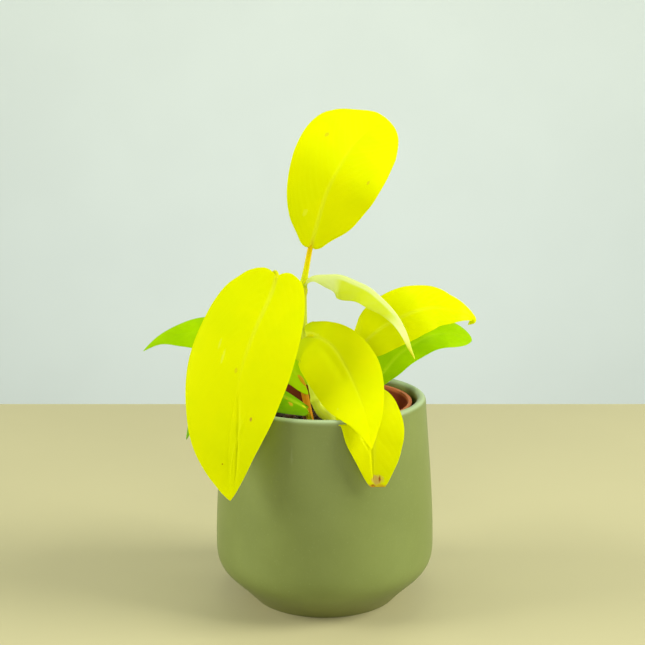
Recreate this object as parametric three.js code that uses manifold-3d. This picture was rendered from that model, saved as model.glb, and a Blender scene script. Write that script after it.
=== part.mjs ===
// Potted philodendron: a young climbing philodendron with lime-yellow leaves, growing in a thin
// nursery pot that stands loose inside a glazed planter.
// Millimetres, +Z up. The origin is the centre of the planter's foot, -Y is the front, +X the right.
import * as THREE from "three";
import { mergeVertices } from "three/addons/utils/BufferGeometryUtils.js";
import Module from "manifold-3d";

const wasm = await Module();
wasm.setup();

// ---- Driving dimensions -------------------------------------------------------------------

const GAP = 0.3; // between pieces that touch

const PLANTER = {
  height: 142.5,
  rimRadius: 69.7, // outside, at the lip
  bellyRadius: 75.75, // outside, at its widest
  bellyHeight: 38,
  footRadius: 50.8,
  wall: 6.4,
  floor: 9,
};

const NURSERY = {
  sideGap: 3.2, // from the planter's mouth to the nursery pot's lip
  recess: 3.5, // from the planter's lip down to the nursery pot's lip
  wall: 1.1,
  floor: 1.8,
  footGap: 5.2, // from the corner of the planter's floor to the nursery pot's foot
  lipWidth: 1.5, // how far the lip stands out from the wall
  lipHeight: 5,
  holeRadius: 4,
  holeCircle: 27,
  holes: 6,
};

const SOIL = {
  depthBelowLip: 17, // from the nursery pot's lip down to the soil at its wall
  crown: 1.5, // how much higher the soil is in the middle
};

const POT_SIDES = 40;
const HOLE_SIDES = 16;
const LEAF_THICKNESS = 0.8;
const ROOTED = 12; // how deep a stalk's foot goes into the soil

// ---- Levels that follow from them ---------------------------------------------------------

const rimLevel = PLANTER.height;
const mouthRadius = PLANTER.rimRadius - PLANTER.wall;
const planterFloorRadius = PLANTER.footRadius - PLANTER.wall / 3;
const nurseryBase = PLANTER.floor + GAP;
const nurseryTop = PLANTER.height - NURSERY.recess;
const nurseryLipRadius = mouthRadius - NURSERY.sideGap;
const nurseryRadius = nurseryLipRadius - NURSERY.lipWidth;
const nurseryFootRadius = planterFloorRadius - NURSERY.footGap;
const soilEdgeLevel = nurseryTop - SOIL.depthBelowLip;
const soilLevel = soilEdgeLevel + SOIL.crown;
const soilBase = nurseryBase + NURSERY.floor + GAP;

// ---- Materials ----------------------------------------------------------------------------

const material = (color, roughness) => new THREE.MeshStandardMaterial({ color, roughness, metalness: 0 });

const MATERIALS = {
  glaze: material(0x7f8c4a, 0.45),
  nurseryPlastic: material(0xa8502a, 0.5),
  soil: material(0x3a2a1c, 0.95),
  perlite: material(0xd8d4c8, 0.85),
  bark: material(0x5a3826, 0.9),
  limeLeaf: material(0xdde619, 0.4),
  newLeaf: material(0xe6ee70, 0.4),
  greenLeaf: material(0x8cc014, 0.38),
  yellowStalk: material(0xc9cf2a, 0.45),
  rustStalk: material(0xc8701c, 0.5),
  greenStalk: material(0x9ab63a, 0.45),
  driedSheath: material(0x9a5a2c, 0.7),
};

// ---- Solids and cuts ----------------------------------------------------------------------

function solidOf(geometry) {
  const bare = geometry.clone();
  for (const attribute of ["normal", "uv"]) bare.deleteAttribute(attribute);
  const merged = mergeVertices(bare, 1e-4);
  return new wasm.Manifold(
    new wasm.Mesh({
      numProp: 3,
      vertProperties: merged.attributes.position.array,
      triVerts: new Uint32Array(merged.index.array),
    }),
  );
}

function geometryOf(solid) {
  const mesh = solid.getMesh();
  const geometry = new THREE.BufferGeometry();
  geometry.setAttribute("position", new THREE.BufferAttribute(mesh.vertProperties, mesh.numProp));
  geometry.setIndex(new THREE.BufferAttribute(mesh.triVerts, 1));
  geometry.computeVertexNormals();
  return geometry;
}

function cut(geometry, tools) {
  let solid = solidOf(geometry);
  for (const tool of tools) solid = solid.subtract(solidOf(tool));
  return geometryOf(solid);
}

const profilePoint = ([radius, level]) => new THREE.Vector2(radius, level);

// Points of radius and level, turned round the pot's axis.
function turned(points, segments) {
  return new THREE.LatheGeometry(points, segments).rotateX(Math.PI / 2); // the lathe turns round Y
}

// ---- Planter ------------------------------------------------------------------------------

// The planter's side from its axis outwards and up, moved inwards by `inset`: a flat bottom, a
// rounded foot that rises to the belly, then a wall that draws in towards the lip.
function planterSide(inset, cornerRadius, bottom) {
  const { rimRadius, bellyRadius, bellyHeight, height, wall } = PLANTER;
  const belly = bellyRadius - inset;
  const rim = rimRadius - inset;
  const top = height - wall / 2;
  const footReach = (belly - cornerRadius) * 0.65; // how flat the foot's curve starts
  const third = (height - bellyHeight) / 3;
  const lean = (bellyRadius - rimRadius) / 3;
  const path = new THREE.Path();
  path.moveTo(0, bottom);
  path.lineTo(cornerRadius, bottom);
  const middle = (bottom + bellyHeight) / 2;
  path.bezierCurveTo(cornerRadius + footReach, middle, belly, middle, belly, bellyHeight);
  path.bezierCurveTo(belly, bellyHeight + third, rim + lean, height - third, rim, top);
  return path;
}

function planter() {
  const { footRadius, wall, floor, height, rimRadius } = PLANTER;
  const lip = wall / 2;
  const outside = planterSide(0, footRadius, 0);
  outside.absarc(rimRadius - lip, height - lip, lip, 0, Math.PI, false);
  const inside = planterSide(wall, planterFloorRadius, floor);
  const points = [...outside.getPoints(5), ...inside.getPoints(5).reverse()];
  return turned(points, POT_SIDES);
}

// ---- Nursery pot --------------------------------------------------------------------------

// Radius of the nursery pot's outer wall at a level, from its foot to its lip.
function nurseryWallRadius(level) {
  return THREE.MathUtils.mapLinear(level, nurseryBase, nurseryTop, nurseryFootRadius, nurseryRadius);
}

function nurseryPot() {
  const { wall, floor, lipWidth, lipHeight } = NURSERY;
  const underLip = nurseryTop - lipHeight;
  const inFloor = nurseryBase + floor;
  const round = wall / 2; // the lip's rounded edges
  const points = [
    [0, nurseryBase],
    [nurseryFootRadius - wall, nurseryBase],
    [nurseryFootRadius, nurseryBase + wall],
    [nurseryWallRadius(underLip - lipWidth), underLip - lipWidth],
    [nurseryLipRadius, underLip],
    [nurseryLipRadius, nurseryTop - round],
    [nurseryLipRadius - round, nurseryTop],
    [nurseryRadius - round, nurseryTop],
    [nurseryRadius - wall, nurseryTop - round],
    [nurseryWallRadius(underLip) - wall, underLip],
    [nurseryWallRadius(inFloor) - wall, inFloor],
    [0, inFloor],
  ];
  const pot = turned(points.map(profilePoint), POT_SIDES);
  const drills = [];
  for (let i = 0; i < NURSERY.holes; i++) {
    const angle = (i / NURSERY.holes) * Math.PI * 2;
    const drill = new THREE.CylinderGeometry(NURSERY.holeRadius, NURSERY.holeRadius, floor * 4, HOLE_SIDES);
    drill.rotateX(Math.PI / 2);
    drill.translate(
      NURSERY.holeCircle * Math.cos(angle),
      NURSERY.holeCircle * Math.sin(angle),
      nurseryBase + floor / 2,
    );
    drills.push(drill);
  }
  return cut(pot, drills);
}

// ---- Potting soil -------------------------------------------------------------------------

const soilRadiusAt = (level) => nurseryWallRadius(level) - NURSERY.wall - GAP;

// The soil's surface is a low cone: its level at a distance from the pot's axis.
function soilLevelAt(radius) {
  return soilLevel - SOIL.crown * (radius / soilRadiusAt(soilEdgeLevel));
}

function soilPlug() {
  const points = [
    [0, soilBase],
    [soilRadiusAt(soilBase), soilBase],
    [soilRadiusAt(soilEdgeLevel), soilEdgeLevel],
    [0, soilLevel],
  ];
  return turned(points.map(profilePoint), POT_SIDES);
}

// ---- Stalks -------------------------------------------------------------------------------

const STALK_SIDES = 8;
const STALK_STEPS = 10;
const STEM_STEPS = 16;

// A round stalk along a curve, closed at both ends. `radii` are spread evenly from foot to tip.
function stalkGeometry(curve, radii, extra = 0, steps = STALK_STEPS) {
  const frames = curve.computeFrenetFrames(steps, false);
  const positions = [];
  const index = [];
  const ring = (k, side) => k * STALK_SIDES + (side % STALK_SIDES);
  for (let k = 0; k <= steps; k++) {
    const along = k / steps;
    const centre = curve.getPointAt(along);
    const place = along * (radii.length - 1);
    const step = Math.min(Math.floor(place), radii.length - 2);
    const radius = THREE.MathUtils.lerp(radii[step], radii[step + 1], place - step) + extra;
    for (let side = 0; side < STALK_SIDES; side++) {
      const angle = (side / STALK_SIDES) * Math.PI * 2;
      const point = centre
        .clone()
        .addScaledVector(frames.normals[k], radius * Math.cos(angle))
        .addScaledVector(frames.binormals[k], radius * Math.sin(angle));
      positions.push(point.x, point.y, point.z);
    }
  }
  for (let k = 0; k < steps; k++) {
    for (let side = 0; side < STALK_SIDES; side++) {
      index.push(ring(k, side), ring(k, side + 1), ring(k + 1, side + 1));
      index.push(ring(k, side), ring(k + 1, side + 1), ring(k + 1, side));
    }
  }
  for (let side = 1; side < STALK_SIDES - 1; side++) {
    index.push(ring(0, 0), ring(0, side + 1), ring(0, side));
    index.push(ring(steps, 0), ring(steps, side), ring(steps, side + 1));
  }
  const geometry = new THREE.BufferGeometry();
  geometry.setAttribute("position", new THREE.Float32BufferAttribute(positions, 3));
  geometry.setIndex(index);
  return geometry;
}

// ---- Leaf blades --------------------------------------------------------------------------

const BLADE_ROWS = 12;
const BLADE_COLUMNS = 8;

// Half-width along the blade as a share of its greatest: a shoulder at the base, then a point.
function bladeShare(leaf, u) {
  const { widest, shoulder, swell = 0.8, taper = 1.3, point = 0.9 } = leaf.outline;
  if (u < widest) return shoulder + (1 - shoulder) * Math.sin((Math.PI / 2) * (u / widest)) ** swell;
  return Math.cos((Math.PI / 2) * ((u - widest) / (1 - widest)) ** taper) ** point;
}

// The blade's middle surface: u runs from base to tip along the midrib, v from edge to edge.
function bladeSurface(leaf, curve, u, v) {
  const { halfWidth, lobe = 0, sides = [1, 1] } = leaf.outline;
  const { fold = 0, droop = 0, wave = 0, waves = 3 } = leaf.form;
  const along = curve.getTangentAt(u);
  const face = new THREE.Vector3(...leaf.face[0]).lerp(new THREE.Vector3(...leaf.face[1]), u);
  face.addScaledVector(along, -face.dot(along)).normalize();
  const across = new THREE.Vector3().crossVectors(along, face);
  const reach = Math.abs(v);
  const width = halfWidth * bladeShare(leaf, u) * (v < 0 ? sides[0] : sides[1]);
  const ripple = wave * Math.sin(Math.PI * waves * u + (v < 0 ? 0 : 1.3)) * reach * reach;
  const lift = width * (fold * reach - droop * reach * reach) + ripple;
  const back = lobe * (1 - u) ** 4 * Math.sin(Math.PI * 0.9 * reach) ** 0.9;
  return curve
    .getPointAt(u)
    .addScaledVector(across, width * v)
    .addScaledVector(face, lift)
    .addScaledVector(along, -back);
}

function bladeGeometry(leaf, curve) {
  const surface = (u, v) => bladeSurface(leaf, curve, u, v);
  const nearly = 0.02; // a small step in u or v, for the slopes of the surface
  const positions = [];
  const thicken = (u, v) => {
    const inU = Math.min(Math.max(u, nearly), 1 - 3 * nearly);
    const inV = Math.min(Math.max(v, -1 + nearly), 1 - nearly);
    const alongU = surface(inU + nearly, inV).sub(surface(inU - nearly, inV));
    const alongV = surface(inU, inV + nearly).sub(surface(inU, inV - nearly));
    const normal = alongV.cross(alongU).normalize();
    const middle = surface(u, v);
    const above = middle.clone().addScaledVector(normal, LEAF_THICKNESS / 2);
    const below = middle.addScaledVector(normal, -LEAF_THICKNESS / 2);
    positions.push(above.x, above.y, above.z, below.x, below.y, below.z);
  };
  for (let row = 0; row < BLADE_ROWS; row++) {
    for (let column = 0; column <= BLADE_COLUMNS; column++) {
      thicken(row / BLADE_ROWS, (column / BLADE_COLUMNS) * 2 - 1);
    }
  }
  thicken(1, 0);
  const tip = BLADE_ROWS * (BLADE_COLUMNS + 1);
  const at = (row, column) => (row === BLADE_ROWS ? tip : row * (BLADE_COLUMNS + 1) + column);
  const index = [];
  const top = (a, b, c) => index.push(2 * a, 2 * b, 2 * c);
  const bottom = (a, b, c) => index.push(2 * a + 1, 2 * c + 1, 2 * b + 1);
  const edge = (a, b) => index.push(2 * a, 2 * a + 1, 2 * b + 1, 2 * a, 2 * b + 1, 2 * b);
  for (let row = 0; row < BLADE_ROWS; row++) {
    for (let column = 0; column < BLADE_COLUMNS; column++) {
      const corners = [at(row, column), at(row, column + 1), at(row + 1, column + 1), at(row + 1, column)];
      for (const side of [top, bottom]) {
        side(corners[0], corners[1], corners[2]);
        if (row < BLADE_ROWS - 1) side(corners[0], corners[2], corners[3]);
      }
    }
    edge(at(row + 1, 0), at(row, 0));
    edge(at(row, BLADE_COLUMNS), at(row + 1, BLADE_COLUMNS));
  }
  for (let column = 0; column < BLADE_COLUMNS; column++) edge(at(0, column), at(0, column + 1));
  const geometry = new THREE.BufferGeometry();
  geometry.setAttribute("position", new THREE.Float32BufferAttribute(positions, 3));
  geometry.setIndex(index);
  return geometry;
}

// ---- Leaves and stalks of this plant ------------------------------------------------------

// A point over the pot: x and y from the pot's axis, `up` from the planter's rim.
const overPot = (x, y, up) => new THREE.Vector3(x, y, rimLevel + up);

// A point outside the planter: degrees round the axis from +X, `out` from the rim's outer edge.
function outsideRim(degrees, out, up) {
  const angle = THREE.MathUtils.degToRad(degrees);
  const radius = PLANTER.rimRadius + out;
  return new THREE.Vector3(radius * Math.cos(angle), radius * Math.sin(angle), rimLevel + up);
}

// Each leaf has the two ends of its midrib, and how far the midrib arches off the straight line
// between them, at even shares of it. A leaf that hangs over the rim has its tip outside the rim,
// so that it stays clear of the planter. face is the way the upper side looks, at base and tip.
const LEAVES = [
  {
    name: "top_leaf",
    material: "limeLeaf",
    base: overPot(-9, 0, 103.5),
    tip: overPot(46, 54, 170.5),
    arch: [[-3, -11, 10], [-5, -19, 18], [-5, -25, 22], [-4, -25, 24], [-2, -19, 21], [0, -9, 14]],
    face: [[0.1, -1, 0.1], [0.1, -1, 0.5]],
    outline: { halfWidth: 33, widest: 0.5, shoulder: 0.2, swell: 0.8, taper: 1.4, lobe: 1 },
    form: { fold: 0.12, droop: 0.1 },
    stalk: { fromStem: 0.98, via: [], radii: [2.2, 1.9] },
  },
  {
    name: "left_leaf",
    material: "limeLeaf",
    base: overPot(-31.7, -28, 87.2),
    tip: outsideRim(-127.2, 30.7, -49.8),
    arch: [[1, 3, 11], [-4, 1, 13], [-8, 0, 12], [-8, 0, 10], [-6, 0, 8]],
    face: [[-0.2, -1, 0.5], [-0.3, -1, 0.2]],
    outline: { halfWidth: 34, widest: 0.42, shoulder: 0.6, taper: 1.5, lobe: 3, sides: [0.9, 1] },
    form: { fold: 0.15, droop: 0.12, wave: 1 },
    stalk: { fromStem: 0.6, via: [[-20, -2, 48], [-29, -10, 76], [-33, -20, 88]], radii: [2.4, 2] },
  },
  {
    name: "centre_leaf",
    material: "limeLeaf",
    base: overPot(-11.2, -12.6, 39.3),
    tip: outsideRim(-70.6, 20, -14.7),
    arch: [[1, 6, 12], [3, 4, 19], [4, 2, 21], [5, 0, 16], [4, 0, 9]],
    face: [[-0.3, -0.7, 0.8], [0, -1, 0.2]],
    outline: { halfWidth: 26, widest: 0.42, shoulder: 0.62, lobe: 4, sides: [0.68, 1.02] },
    form: { fold: 0.1, droop: 0.15 },
    stalk: { fromStem: 0.55, via: [], radii: [2, 1.6] },
  },
  {
    name: "low_front_leaf",
    material: "limeLeaf",
    base: outsideRim(-62.2, -30.4, 12),
    tip: outsideRim(-67.9, 11, -42),
    arch: [[4, -6, 11], [6, -10, 18], [7, -13, 14], [3, -8, 10]],
    face: [[0, -0.3, 1], [0.1, -1, 0.1]],
    outline: { halfWidth: 19.5, widest: 0.45, shoulder: 0.6, taper: 1.45, lobe: 3 },
    form: { fold: 0.12, droop: 0.15 },
    stalk: { foot: [15, -12], via: [[15, -20, 0]], radii: [2, 1.6] },
  },
  {
    name: "new_leaf",
    material: "newLeaf",
    base: overPot(-10, -2, 81),
    tip: overPot(60, -36, 34),
    arch: [[-2, 3, 11], [1, 4, 20], [3, 5, 22], [3, 5, 21], [3, 2, 14]],
    face: [[0, -0.4, 1], [0.5, -0.6, 0.7]],
    outline: { halfWidth: 7, widest: 0.3, shoulder: 0.2, taper: 0.9, point: 1.4 },
    form: { fold: -1.8, droop: 0 },
    stalk: { fromStem: 0.97, via: [], radii: [1.7, 1.4] },
  },
  {
    name: "right_leaf",
    material: "limeLeaf",
    base: overPot(22.8, 2, 32.3),
    tip: overPot(100.8, 15, 40.3),
    arch: [[2, -2, 12], [13, -2, 22], [18, 0, 22], [16, -1, 16], [11, -1, 8]],
    face: [[-0.3, -0.9, 0.6], [0.3, -0.7, 0.7]],
    outline: { halfWidth: 21, widest: 0.4, shoulder: 0.6, point: 1, lobe: 4 },
    form: { fold: 0.12, droop: 0.15 },
    stalk: { foot: [9, 0], via: [[13, 4, 10]], radii: [2.2, 1.7] },
  },
  {
    name: "right_green_leaf",
    material: "greenLeaf",
    base: overPot(26, 16, 3),
    tip: overPot(106, 38, 29),
    arch: [[-1, -1, 8], [-2, 0, 15], [1, 1, 21], [6, 2, 19], [4, 2, 11]],
    face: [[-0.4, -0.7, 0.8], [0.2, -0.6, 0.8]],
    outline: { halfWidth: 17, widest: 0.5, shoulder: 0.6, taper: 1.8, lobe: 4 },
    form: { fold: 0.1, droop: 0.15 },
    stalk: { foot: [6, 14], via: [], radii: [2, 1.6] },
  },
  {
    name: "left_green_leaf",
    material: "greenLeaf",
    base: overPot(-11.6, 10, 10.5),
    tip: overPot(-129.6, 34, 22.5),
    arch: [[6, 0, 7], [2, 1, 15], [-4, 2, 20], [-9, 2, 18], [-7, 2, 10]],
    face: [[0.4, -0.7, 0.8], [-0.2, -0.6, 0.8]],
    outline: { halfWidth: 18, widest: 0.42, shoulder: 0.6, taper: 1, point: 1.2, lobe: 4 },
    form: { fold: 0.1, droop: 0.15 },
    stalk: { foot: [-10, 2], via: [], radii: [2, 1.6], material: "rustStalk" },
  },
  {
    name: "low_left_leaf",
    material: "greenLeaf",
    base: overPot(-12.6, -14, -5.6),
    tip: outsideRim(-161.5, 27.9, -23.6),
    arch: [[-1, -1, 13], [-9, -4, 25], [-16, -6, 27], [-18, -5, 19], [-11, -3, 8]],
    face: [[0.2, -0.6, 0.9], [-0.9, -0.3, 0.3]],
    outline: { halfWidth: 18, widest: 0.45, shoulder: 0.6, lobe: 4 },
    form: { fold: 0.1, droop: 0.15 },
    stalk: { foot: [-9, -10], via: [], radii: [1.9, 1.5] },
  },
];

const MAIN_STEM = {
  foot: [8, -20],
  via: [[3, -17, -12], [-4, -12, -6], [-9, -6, 12], [-14, -2, 38], [-15, 0, 76]],
  radii: [4.4, 3.6, 3, 2.6, 2.6],
};

// A pale shoot that lies low beside the main stem.
const SIDE_SHOOT = {
  foot: [1, -25],
  via: [[-3, -26, -16], [-8, -27, -14], [-13, -27, -11]],
  radii: [3.2, 3, 2.4, 0.8],
};

// Dried sheaths at the foot of the stalks: steps from a point on the soil.
const DRIED_SHEATHS = [
  { foot: [17, -6], rib: [[0, 0, 0.8], [2, -1, 8], [5, -2, 15], [10, -2, 20]], face: [[1, 0, 0.2], [0.8, 0, -0.6]] },
  { foot: [-14, -4], rib: [[0, 0, 0.8], [-2, 1, 7], [-5, 2, 13], [-9, 3, 16]], face: [[-1, 0, 0.2], [-0.8, 0, -0.6]] },
];

// Loose grains on the soil: x, y and half-size.
const PERLITE = [[-13, 12, 2.2], [-20, -12, 1.8], [24, 6, 2], [2, 28, 2.4], [-6, -34, 1.7]];
const BARK = [[17, 26, 4], [-24, 4, 3.6], [27, -14, 3.8]];

const nodes = [];
function addNode(name, geometry, materialName) {
  geometry.computeVertexNormals();
  const mesh = new THREE.Mesh(geometry, MATERIALS[materialName]);
  mesh.name = name;
  nodes.push(mesh);
}

const through = (points) => new THREE.CatmullRomCurve3(points, false, "catmullrom", 0.5);

const steppedFrom = (anchor, steps) => through(steps.map((step) => new THREE.Vector3(...step).add(anchor)));

function midrib({ base, tip, arch }) {
  const arches = [[0, 0, 0], ...arch, [0, 0, 0]];
  const place = (offset, i) => base.clone().lerp(tip, i / (arches.length - 1)).add(new THREE.Vector3(...offset));
  return through(arches.map(place));
}

// A stalk's foot in the soil, and where it comes out of the soil.
const rootedAt = ([x, y]) => [soilLevel - ROOTED, soilLevel].map((level) => new THREE.Vector3(x, y, level));

const rootedCurve = ({ foot, via }) => through([...rootedAt(foot), ...via.map((point) => overPot(...point))]);

const potted = new THREE.Group();
const cutters = []; // the stalks rooted in the soil, grown by the gap
const onStem = []; // the stalks that spring from the main stem, grown by the gap
addNode("planter", planter(), "glaze");
addNode("nursery_pot", nurseryPot(), "nurseryPlastic");

const stemCurve = rootedCurve(MAIN_STEM);
addNode("main_stem", stalkGeometry(stemCurve, MAIN_STEM.radii, 0, STEM_STEPS), "yellowStalk");
const stemCutter = stalkGeometry(stemCurve, MAIN_STEM.radii, GAP, STEM_STEPS);
cutters.push(stemCutter);

for (const leaf of LEAVES) {
  const rib = midrib(leaf);
  const { foot, fromStem, via, radii, material: stalkMaterial = "yellowStalk" } = leaf.stalk;
  const bends = via.map((point) => overPot(...point));
  const start = foot ? rootedAt(foot) : [stemCurve.getPointAt(fromStem)];
  const curve = through([...start, ...bends, leaf.base]);
  const grown = stalkGeometry(curve, radii, GAP);
  addNode(leaf.name, cut(bladeGeometry(leaf, rib), [grown, stemCutter]), leaf.material);
  const stalk = stalkGeometry(curve, radii);
  addNode(leaf.name + "_stalk", foot ? stalk : cut(stalk, [...onStem, stemCutter]), stalkMaterial);
  if (foot) cutters.push(grown);
  else onStem.push(grown);
}

const shootCurve = rootedCurve(SIDE_SHOOT);
addNode("side_shoot", stalkGeometry(shootCurve, SIDE_SHOOT.radii), "greenStalk");
cutters.push(stalkGeometry(shootCurve, SIDE_SHOOT.radii, GAP));

DRIED_SHEATHS.forEach(({ foot: [x, y], rib, face }, i) => {
  const anchor = new THREE.Vector3(x, y, soilLevelAt(Math.hypot(x, y)));
  const outline = { halfWidth: 4, widest: 0.3, shoulder: 0.7 };
  const sheath = { face, outline, form: { fold: -0.5 } };
  addNode(`dried_sheath_${i + 1}`, bladeGeometry(sheath, steppedFrom(anchor, rib)), "driedSheath");
});

PERLITE.forEach(([x, y, size], i) => {
  const grain = new THREE.IcosahedronGeometry(size);
  grain.rotateZ(i).translate(x, y, soilLevelAt(Math.hypot(x, y)) + size + GAP);
  addNode(`perlite_${i + 1}`, grain, "perlite");
});

BARK.forEach(([x, y, size], i) => {
  const chip = new THREE.BoxGeometry(size * 2.4, size * 1.3, size * 0.6);
  const tilt = 0.15;
  chip.rotateY(tilt).rotateZ(i * 1.1).translate(x, y, soilLevelAt(Math.hypot(x, y)) + size);
  addNode(`bark_${i + 1}`, chip, "bark");
});

addNode("potting_soil", cut(soilPlug(), cutters), "soil");

potted.add(...nodes);
export default potted;
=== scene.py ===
# %% [markdown]
# # A potted philodendron
#
# A young climbing philodendron has a few broad, lime-yellow leaves on slender stalks. It grows in a
# thin nursery pot that stands loose inside a heavier glazed planter. The CAD frame already holds
# every piece at its true size and place. This lesson gives each piece its living shape and finish:
# smooth thrown walls, crumbly soil, juicy stalks and thin leaves that let some light through.

import math

import bpy
import numpy as np
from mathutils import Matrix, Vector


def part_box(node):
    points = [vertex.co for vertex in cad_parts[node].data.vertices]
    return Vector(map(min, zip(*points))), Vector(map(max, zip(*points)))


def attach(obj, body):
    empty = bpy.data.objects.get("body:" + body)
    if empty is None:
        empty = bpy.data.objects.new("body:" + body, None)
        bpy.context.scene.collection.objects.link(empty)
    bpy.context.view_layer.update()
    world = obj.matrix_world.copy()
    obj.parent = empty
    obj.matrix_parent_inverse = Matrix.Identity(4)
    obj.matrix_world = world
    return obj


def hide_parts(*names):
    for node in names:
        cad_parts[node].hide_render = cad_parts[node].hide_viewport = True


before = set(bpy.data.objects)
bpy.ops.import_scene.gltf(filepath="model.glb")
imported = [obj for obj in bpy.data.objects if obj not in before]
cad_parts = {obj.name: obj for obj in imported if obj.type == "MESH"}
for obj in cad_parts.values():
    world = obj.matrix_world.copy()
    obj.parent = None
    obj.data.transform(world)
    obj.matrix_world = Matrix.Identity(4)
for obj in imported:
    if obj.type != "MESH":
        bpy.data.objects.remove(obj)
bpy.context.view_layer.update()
MM = 0.001

# %% [markdown]
# ## Sizes that come from the frame
#
# The two pots and the soil are turned round one axis, so the frame's own vertices tell every
# radius. We measure the rings that matter instead of repeating numbers, so the looks follow the CAD
# model if its sizes change.

# %% Measure the pots


def ring_radius(node, low, high):
    """The largest distance from the axis among a node's vertices between two levels."""
    points = np.array([v.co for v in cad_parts[node].data.vertices])
    inside = (points[:, 2] >= low) & (points[:, 2] <= high)
    return float(np.hypot(points[inside, 0], points[inside, 1]).max())


RIM_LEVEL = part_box("planter")[1].z
LIP = 3.2 * MM  # the radius of the planter's rounded lip, half its wall
HAIR = 0.05 * MM
FLOOR_EDGE = 1.5 * MM  # where the nursery pot's foot is at its widest
planter_foot = ring_radius("planter", -HAIR, HAIR)
planter_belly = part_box("planter")[1].x
planter_rim = ring_radius("planter", RIM_LEVEL - LIP - HAIR, RIM_LEVEL - LIP + HAIR)
nursery_low, nursery_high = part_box("nursery_pot")
nursery_lip = nursery_high.x
nursery_foot = ring_radius("nursery_pot", nursery_low.z, nursery_low.z + FLOOR_EDGE)
soil_low, soil_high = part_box("potting_soil")
soil_radius = soil_high.x
radii = {"foot": planter_foot, "belly": planter_belly, "rim": planter_rim}
print("planter (mm):", {name: round(radius / MM, 1) for name, radius in radii.items()})
print("nursery foot and lip (mm):", [round(r / MM, 1) for r in (nursery_foot, nursery_lip)])

# %% [markdown]
# ## Camera
#
# The plant is seen from a little above, across a table and from about a metre away. A long lens at
# that distance keeps the pot's sides from leaning. A pitch angle, a point to look at and a distance
# place the camera, because each of them can then be changed on its own.

# %% Camera
PITCH = math.radians(11.46)
LOOK_AT = np.array([-1.54, 0.0, 193.1]) * MM
DISTANCE = 950 * MM
FOCAL_LENGTH = 77.69
SENSOR_WIDTH = 36


def placed(name, data):
    """A new object in the scene for a camera, a lamp or a mesh."""
    made = bpy.data.objects.new(name, data)
    bpy.context.scene.collection.objects.link(made)
    return made


camera_data = bpy.data.cameras.new("camera")
camera_data.lens = FOCAL_LENGTH
camera_data.sensor_width = SENSOR_WIDTH
camera = placed("camera", camera_data)
camera.location = LOOK_AT + DISTANCE * np.array([0.0, -math.cos(PITCH), math.sin(PITCH)])
camera.rotation_euler = (math.pi / 2 - PITCH, 0.0, 0.0)
bpy.context.scene.camera = camera
print("camera at", [round(x, 3) for x in camera.location])

# %% [markdown]
# ## Lamps and sky
#
# The light is soft and comes mostly from the sides: a large lamp on each side grazes the leaves, so
# that veins and folds show, and leaves the glaze between the hanging leaves in half shade. A lamp
# high above the back shines through the leaves, a wide weak one in front fills the shadows, and one
# below the tabletop lights only the wall. A dim sky, faintly green, fills the rest. Area lamps are
# the natural choice, because their size alone sets how soft the shadows are.

# %% Lamps and sky
view_settings = bpy.context.scene.view_settings
view_settings.view_transform = "Standard"
view_settings.look = "None"


SOFT_WHITE = (0.97, 1.0, 0.93)
PURE_WHITE = (1.0, 1.0, 1.0)
PLANT = (0.0, 0.0, 0.16)
WALL_BACK = 1.6
WALL_PLACE = (0.0, WALL_BACK, 0.3)


def lamp(name, azimuth, elevation, distance, size, watts, colour=SOFT_WHITE, aim=PLANT):
    """A square soft lamp that looks at its aim; azimuth 0 is the front, + the right."""
    turn, lift = math.radians(azimuth), math.radians(elevation)
    level = math.cos(lift)
    way = np.array([math.sin(turn) * level, -math.cos(turn) * level, math.sin(lift)])
    data = bpy.data.lights.new(name, "AREA")
    data.size = size
    data.energy = watts
    data.color = colour
    light = placed(name, data)
    light.location = np.array(aim) + distance * way
    light.rotation_euler = (math.pi / 2 - lift, 0.0, turn)


lamp("right_lamp", 78, 29, 1.6, 0.8, 31)
lamp("left_lamp", -80, 24, 1.6, 0.8, 21)
lamp("back_lamp", 180, 81, 2.4, 0.8, 9)
lamp("wall_lamp", 0, -35, 1.1, 0.8, 1.9, PURE_WHITE, WALL_PLACE)
lamp("front_lamp", 0, 20, 1.8, 1.0, 8)

SKY_COLOUR = (0.93, 1.0, 0.9, 1.0)
SKY_STRENGTH = 0.3
world = bpy.data.worlds.new("soft_sky")
bpy.context.scene.world = world
world.use_nodes = True
sky = world.node_tree.nodes["Background"].inputs
sky["Color"].default_value = SKY_COLOUR
sky["Strength"].default_value = SKY_STRENGTH
print("lamps (W):", {light.name: round(light.energy, 1) for light in bpy.data.lights})

# %% [markdown]
# ## Shader maths as plain Python
#
# A finish is a small tree of nodes. Wiring each Math node by hand hides what the finish means, so a
# `Wire` wraps one output socket and overloads the operators. `1 - mask` then adds its own node, and
# a material reads like a formula.

# %% Wires


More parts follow.
